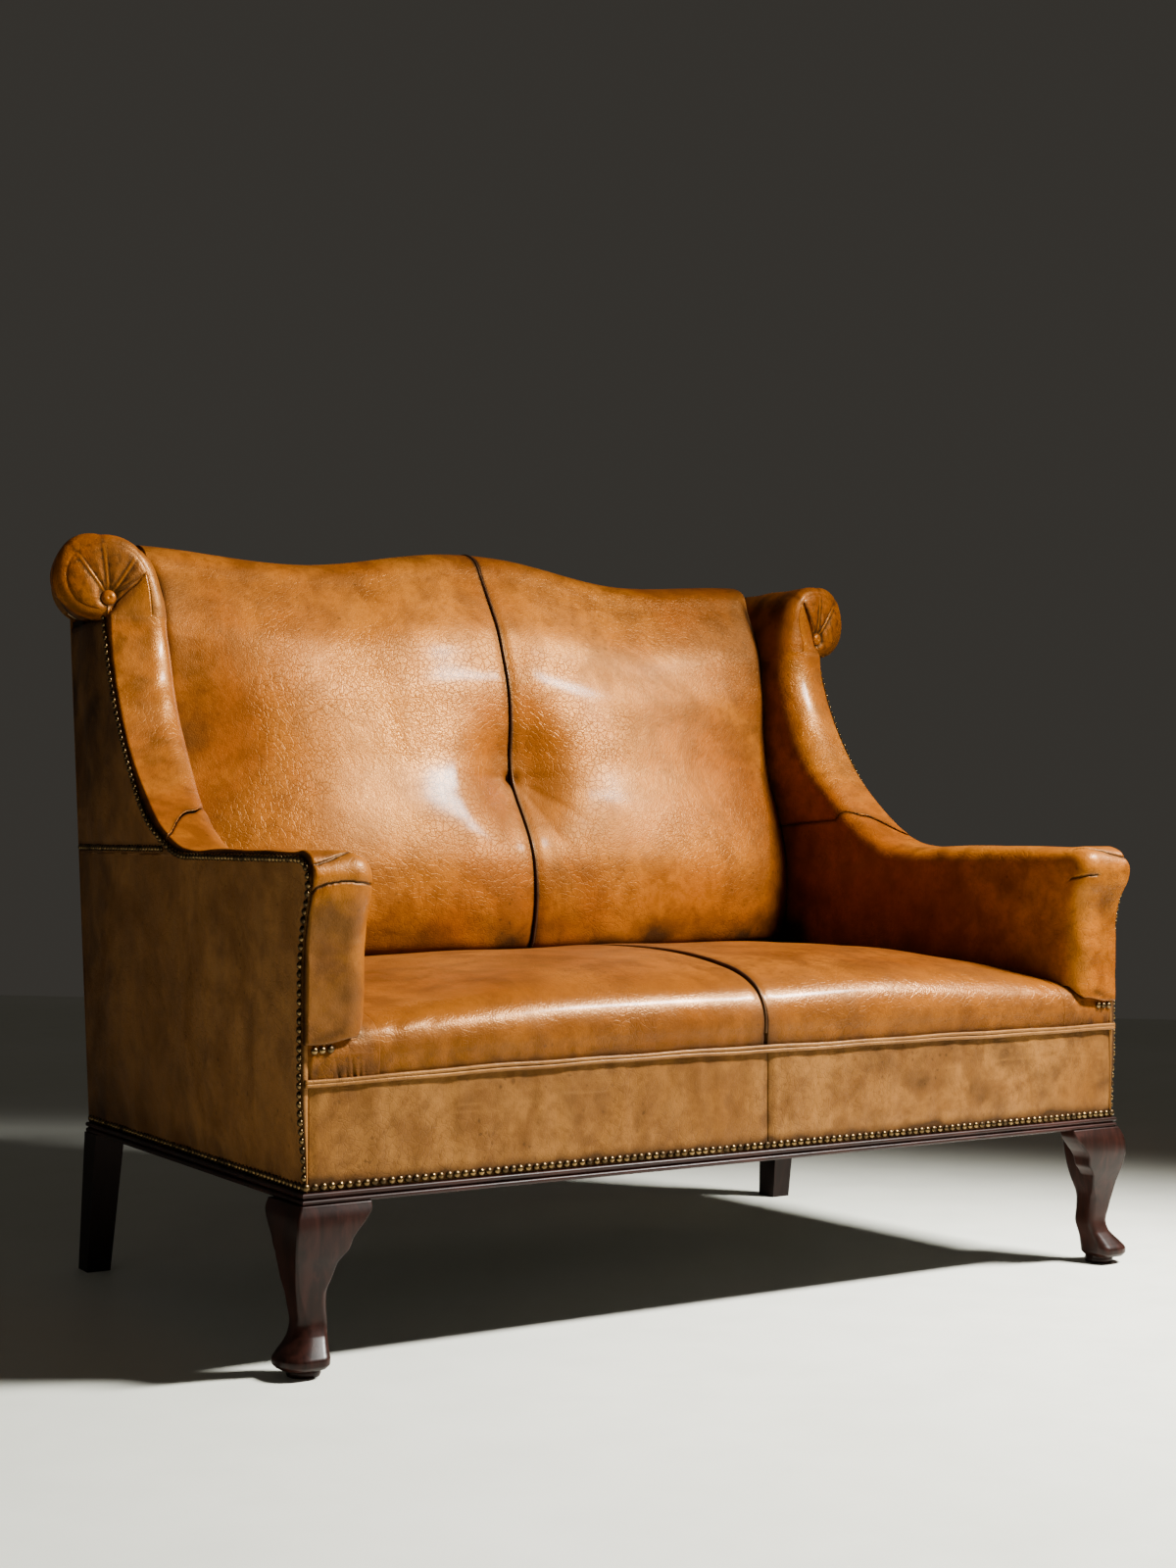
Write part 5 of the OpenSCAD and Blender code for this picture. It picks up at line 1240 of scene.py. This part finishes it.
# ---------------------------------------------------------------- front legs
# Rows down the leg: z, outer face, front face, width, outer and inner corner radii
LEG_ROWS = np.array([
    [197, 3, -2, 58, 3, 3], [183, 9, -7, 63, 3, 3.5], [165, 11, -8.5, 64, 3, 4],
    [140, 9.5, -3, 58, 3, 6], [120, 6, 4, 49.5, 4, 9], [100, 3, 9, 41.5, 5, 13],
    [80, -0.5, 11.5, 38, 8, 15], [58, -3, 11.5, 37.5, 14, 17.5], [46, 1.5, 7, 40, 19, 19.5],
    [38, 8, 1, 45, 22, 22], [30, 16, -5.5, 52, 25.5, 25.5], [22, 22, -11, 57.4, 28.6, 28.6],
    [16, 22, -11, 57, 28.4, 28.4], [11, 18, -7, 49, 24.4, 24.4]], float)
# Scalloped lower edge of the brackets: z and reach
BRACKET_LINE = [[197, -88], [189, -87], [181, -81.5], [172, -74], [163, -66], [156, -61.5],
                [150, -60], [144, -58], [137, -52], [128, -45], [118, -39], [108, -34], [98, -30],
                [80, -20]]
# Pad under the foot: radius and z
PAD_ROWS = ((19.5, 10.5), (19.5, 8), (20.2, 6), (20.2, 3), (19.2, 0.4), (18.6, 0.0))
CORNER_STEPS = 8


def rounded(points, radii):
    """Closed outline with each corner rounded off."""
    out = []
    f = np.linspace(0, 1, CORNER_STEPS + 1)[:, None]
    w = math.sqrt(0.5) * 2 * f * (1 - f)
    for i, here in enumerate(points):
        d0, d1 = points[i - 1] - here, points[(i + 1) % len(points)] - here
        l0, l1 = np.linalg.norm(d0), np.linalg.norm(d1)
        r = min(radii[i], 0.49 * l0, 0.49 * l1)
        a, b = here + d0 / max(l0, 1e-9) * r, here + d1 / max(l1, 1e-9) * r
        out.append(((1 - f) ** 2 * a + w * here + f * f * b) / ((1 - f) ** 2 + w + f * f))
    return np.concatenate(out)


def front_leg(s, label):
    heights = np.r_[np.linspace(197, 60, 110), np.linspace(60, 11, 60)[1:]]
    order = LEG_ROWS[::-1]
    rows = spline(order, at=np.interp(heights, order[:, 0], np.arange(len(order))))
    bracket = spline(BRACKET_LINE, 160)[::-1]
    half = FRAME_W / 2
    rings = []
    for z, (_, outside, y0, w, outer_r, inner_r) in zip(heights, rows):
        x1 = half + outside
        x0, y1 = x1 - w, y0 + w
        reach = np.interp(z, bracket[:, 0], bracket[:, 1])
        xb, yb = min(x0 - 0.05, half + reach), max(y1 + 0.05, -reach)
        deep = mix(0.5 * w, min(BRACKET_T - 1 - y0, w * 0.6), smooth((z - 60) / 50))
        corners = np.array([[x1, y0], [xb, y0], [xb, y0 + deep], [x0, y0 + deep], [x0, y1],
                            [x1 - deep, y1], [x1 - deep, yb], [x1, yb]])
        end_r = mix(inner_r, 2.5, smooth((z - 75) / 40))
        low_r = 2.0 * smooth((z - 90) / 20) + 0.02
        ring = rounded(corners, [outer_r, end_r, low_r, 1.0, inner_r * 0.8, 1.0, low_r, end_r])
        rings.append(np.c_[ring, np.full(len(ring), z)])
    last = rings[-1][:, :2]
    centre = last.mean(axis=0)
    for r, z in PAD_ROWS:
        rings.append(np.c_[centre + unit(last - centre) * r, np.full(len(last), z)])
    rings = np.stack(rings) * [s, 1, 1]
    piece("leg_" + label, rings, tube_faces(*rings.shape[:2]), MAHOGANY,
          ["front_leg_" + label, "leg_brackets_" + label])


front_leg(1, "right")
front_leg(-1, "left")


# ---------------------------------------------------------------- outside panels
PANEL_TOP = ARM_H + 7.0


def curve_b(z):
    t = np.linspace(0, 1, 400)
    point, normal = wing_at(t)
    edge = point + normal * (wing_start(t) * wing_bulge(t))[:, None]
    return np.interp(z, edge[:, 1], edge[:, 0])


def panel(name, node, s, heights, front_of, seed):
    cols = 150
    z = heights[:, None] * np.ones(cols)
    front = front_of(heights)[:, None]
    b = mix(front, back_in(heights, LEATHER_T)[:, None], spread(cols, 0.6)[None, :])
    a = np.full_like(b, -REVEAL)
    p = np.stack([a, b, z], axis=-1)
    hidden = p.copy()
    hidden[..., 0] = -PANEL_IN
    rim = np.minimum.reduce([b - front, z - heights[0], heights[-1] - z, 200 + 0 * z])
    edge = np.minimum(1, rim / 14)
    p[..., 0] += (0.9 * waves(p, 150, seed) * edge
                  + 0.5 * waves(p * [1, 1, 0.4], 60, seed + 1) * edge)
    p[..., 0] -= 1.0 * (1 - edge)
    p[..., 0] += bow(a, b, z)
    # painted shade round the edges and in the gap at the front, darker towards the bottom, painted
    # shade towards the rear and the top where little light reaches, and patchy dirt
    soil = (0.35 * (1 - np.minimum(1, rim / 9)) + 0.25 * smooth((260 - z) / 40)
            + 0.9 * smooth((front + 3.5 - b) / 3))
    soil += (0.12 * np.clip(waves(p, 110, seed + 2), 0, 1) + 0.30 * smooth((b - 560) / 150)
             + 0.2 * smooth((z - 640) / 120))
    points, faces = slab(p, hidden)
    piece(name, on_side(*points.T), faces, SIDE_LIGHTENED, [node], {"soil": soil},
          flip=s < 0)


def arm_panel_front(z):
    front = np.interp(z, [211, 470, 500, 530, 554, 573, 588, 595],
                      [5, 5, 0.5, -6.8, -16, -18, -10.5, 4])
    return np.where(z > 595.005, curve_b(z), front)


arm_heights = np.r_[np.linspace(RAIL_Z, 560, 70), np.linspace(560, 595, 14)[1:], 595.01,
                    np.linspace(596, PANEL_TOP, 5)]
wing_heights = np.linspace(PANEL_TOP + 0.3, ROLL_BOTTOM + 1, 70)
for s, label in ((1, "right"), (-1, "left")):
    panel("arm_panel_" + label, "outside_arm_" + label, s, arm_heights, arm_panel_front, 71)
    panel("wing_panel_" + label, "outside_wing_" + label, s, wing_heights, curve_b, 75)


# ---------------------------------------------------------------- brass nails
# Row of nails round the arm's front corner, in b and z
NAIL_LINE = [[8, 228], [8, 420], [7.5, 470], [3, 500], [-4.5, 530], [-13, 552], [-15, 570],
             [-7, 585], [8, 591.5], [26, 592.5]]
NAIL_BASE = 217.0


def nails(name, path, pitch, normal, flip=False):
    """A row of domed nail heads along a path, each a little out of line."""
    step = np.r_[0, np.cumsum(np.linalg.norm(np.diff(path, axis=0), axis=1))]
    count = max(2, int(round(step[-1] / pitch)) + 1)
    t = np.linspace(0, step[-1], count) + rng.normal(0, 0.35, count)
    mirror = np.array([-1.0 if flip else 1.0, 1, 1])
    centres = np.stack([np.interp(t, step, path[:, k]) for k in range(3)], axis=1) * mirror
    rings, around = 5, 12
    f = np.linspace(0, 1, rings)[:, None, None] * math.pi / 2 * 0.96
    g = 2 * math.pi * np.arange(around)[:, None] / around
    points, faces = [], []
    for k, c in enumerate(centres):
        n = unit(normal * mirror + rng.normal(0, 0.05, 3))
        u = unit(np.cross(n, [0.3, 0.2, 1.0]))
        disc = np.cos(g) * u + np.sin(g) * np.cross(n, u)
        size = NAIL_R * rng.uniform(0.95, 1.04)
        points.append(c + size * np.cos(f) * disc + (size * 0.72 * np.sin(f) + 0.2) * n)
        faces += tube_faces(rings, around, k * rings * around)
    piece(name, np.stack(points).reshape(-1, 3), faces, BRASS)


def on_bow(line):
    """Places of nail heads on the bowed side, from b and z."""
    b, z = line.T
    return on_side(bow(-REVEAL, b, z) - REVEAL - 0.4, b, z)


FORWARD, OUT = np.array([0, -1, 0]), np.array([math.cos(TAPER), math.sin(TAPER), 0.0])
nails("nails_front", np.array([[-644, REVEAL - 0.6, NAIL_BASE], [644, REVEAL - 0.6, NAIL_BASE]]),
      NAIL_PITCH, FORWARD)
for s, label in ((1, "right"), (-1, "left")):
    flip = s < 0
    side = on_side(-REVEAL, np.array([10.0, back_y(NAIL_BASE) - 8]), NAIL_BASE)
    nails("nails_side_" + label, side, NAIL_PITCH, OUT, flip)
    edge = NAIL_LINE + [[y, NAIL_LINE[-1][1]] for y in np.linspace(60, WING_START, 12)]
    for t in np.linspace(0, 1, 40)[1:]:
        q, normal = wing_at(t)
        edge.append(list(q + (wing_start(t) * wing_bulge(t) - 2.5) * normal))
    nails("nails_arm_" + label, on_bow(spline(edge, 400)), 10.6, OUT, flip)
    level = np.linspace([452.0, 602.0], [back_y(602) - 8, 602.0], 40)
    nails("nails_wing_" + label, on_bow(level), NAIL_PITCH, OUT, flip)
    foot = np.array([[635.5, 1.0, 373.0], [615.0, 1.0, 374.0]])
    nails("nails_facing_" + label, foot, 10.2, FORWARD, flip)


# ---------------------------------------------------------------- stage, lights and camera
CAMERA = Vector((-1.7844, -2.7692, 0.6223))
YAW, PITCH = math.radians(32.95), math.radians(1.24)
LENS, SENSOR = 52.0, 36.0
AHEAD = Vector((math.sin(YAW), math.cos(YAW), 0))
ACROSS = Vector((math.cos(YAW), -math.sin(YAW), 0))
# Corners of the floor as seen from the camera: to the right and ahead
FLOOR = ((-7, -6), (7, -6), (7, 6.2), (-7, 10.0))
GLOOM = (0.042, 0.039, 0.034, 1)
KEY_SHIFTS = (-0.36, -0.12, 0.12, 0.36)
KEY_POWER, KEY_ANGLE, KEY_BLEND, KEY_RADIUS = 440, math.radians(82), 0.55, 0.16


def add(name, data):
    obj = bpy.data.objects.new(name, data)
    bpy.context.scene.collection.objects.link(obj)
    return obj


def floor_finish():
    f = Finish("pale_floor")
    cloud = f.noise(0.8, 4.0)
    marks = f.noise(9.0, 5.0, 0.65)
    tint = f.blend(cloud.ramp(0.35, 0.65), (0.74, 0.76, 0.67), (0.80, 0.81, 0.73))
    tint = f.blend(marks.ramp(0.6, 0.8) * 0.15, tint, (0.62, 0.63, 0.58))
    return f.done(Base_Color=tint, Roughness=marks.ramp(0.3, 0.7, 0.42, 0.55),
                  Normal=f.bump(marks, 0.0008, 0.15))


corners = [CAMERA + AHEAD * depth + ACROSS * right for right, depth in FLOOR]
floor_mesh = bpy.data.meshes.new("floor")
floor_mesh.from_pydata([(c.x, c.y, 0.0) for c in corners], [], [[0, 1, 2, 3]])
floor_mesh.materials.append(floor_finish())
add("floor", floor_mesh)

world = bpy.data.worlds.new("studio")
bpy.context.scene.world = world
world.use_nodes = True
world.node_tree.nodes["Background"].inputs[0].default_value = GLOOM


def aim(obj, place, target):
    obj.location = place
    obj.rotation_euler = (Vector(target) - Vector(place)).to_track_quat("-Z", "Y").to_euler()


for k, shift in enumerate(KEY_SHIFTS):
    light = bpy.data.lights.new(f"key_{k}", "SPOT")
    light.energy, light.color = KEY_POWER, (1.0, 0.98, 0.93)
    light.spot_size, light.spot_blend, light.shadow_soft_size = KEY_ANGLE, KEY_BLEND, KEY_RADIUS
    aim(add(light.name, light), (1.5 + shift, -1.5, 2.36), (-0.5 + 0.5 * shift, -0.9, 0.0))
light = bpy.data.lights.new("fill", "AREA")
light.size, light.energy, light.color = 2.0, 1.0, (0.95, 0.97, 1.0)
aim(add("fill", light), (-3.2, -1.4, 1.6), (0, 0, 0.5))

camera_data = bpy.data.cameras.new("camera")
camera_data.sensor_width, camera_data.lens = SENSOR, LENS
camera = add("camera", camera_data)
forward = AHEAD * math.cos(PITCH) + Vector((0, 0, math.sin(PITCH)))
up = ACROSS.cross(forward)
turn = Matrix(tuple(zip(ACROSS, up, -forward)))
camera.matrix_world = Matrix.Translation(CAMERA) @ turn.to_4x4()
bpy.context.scene.camera = camera
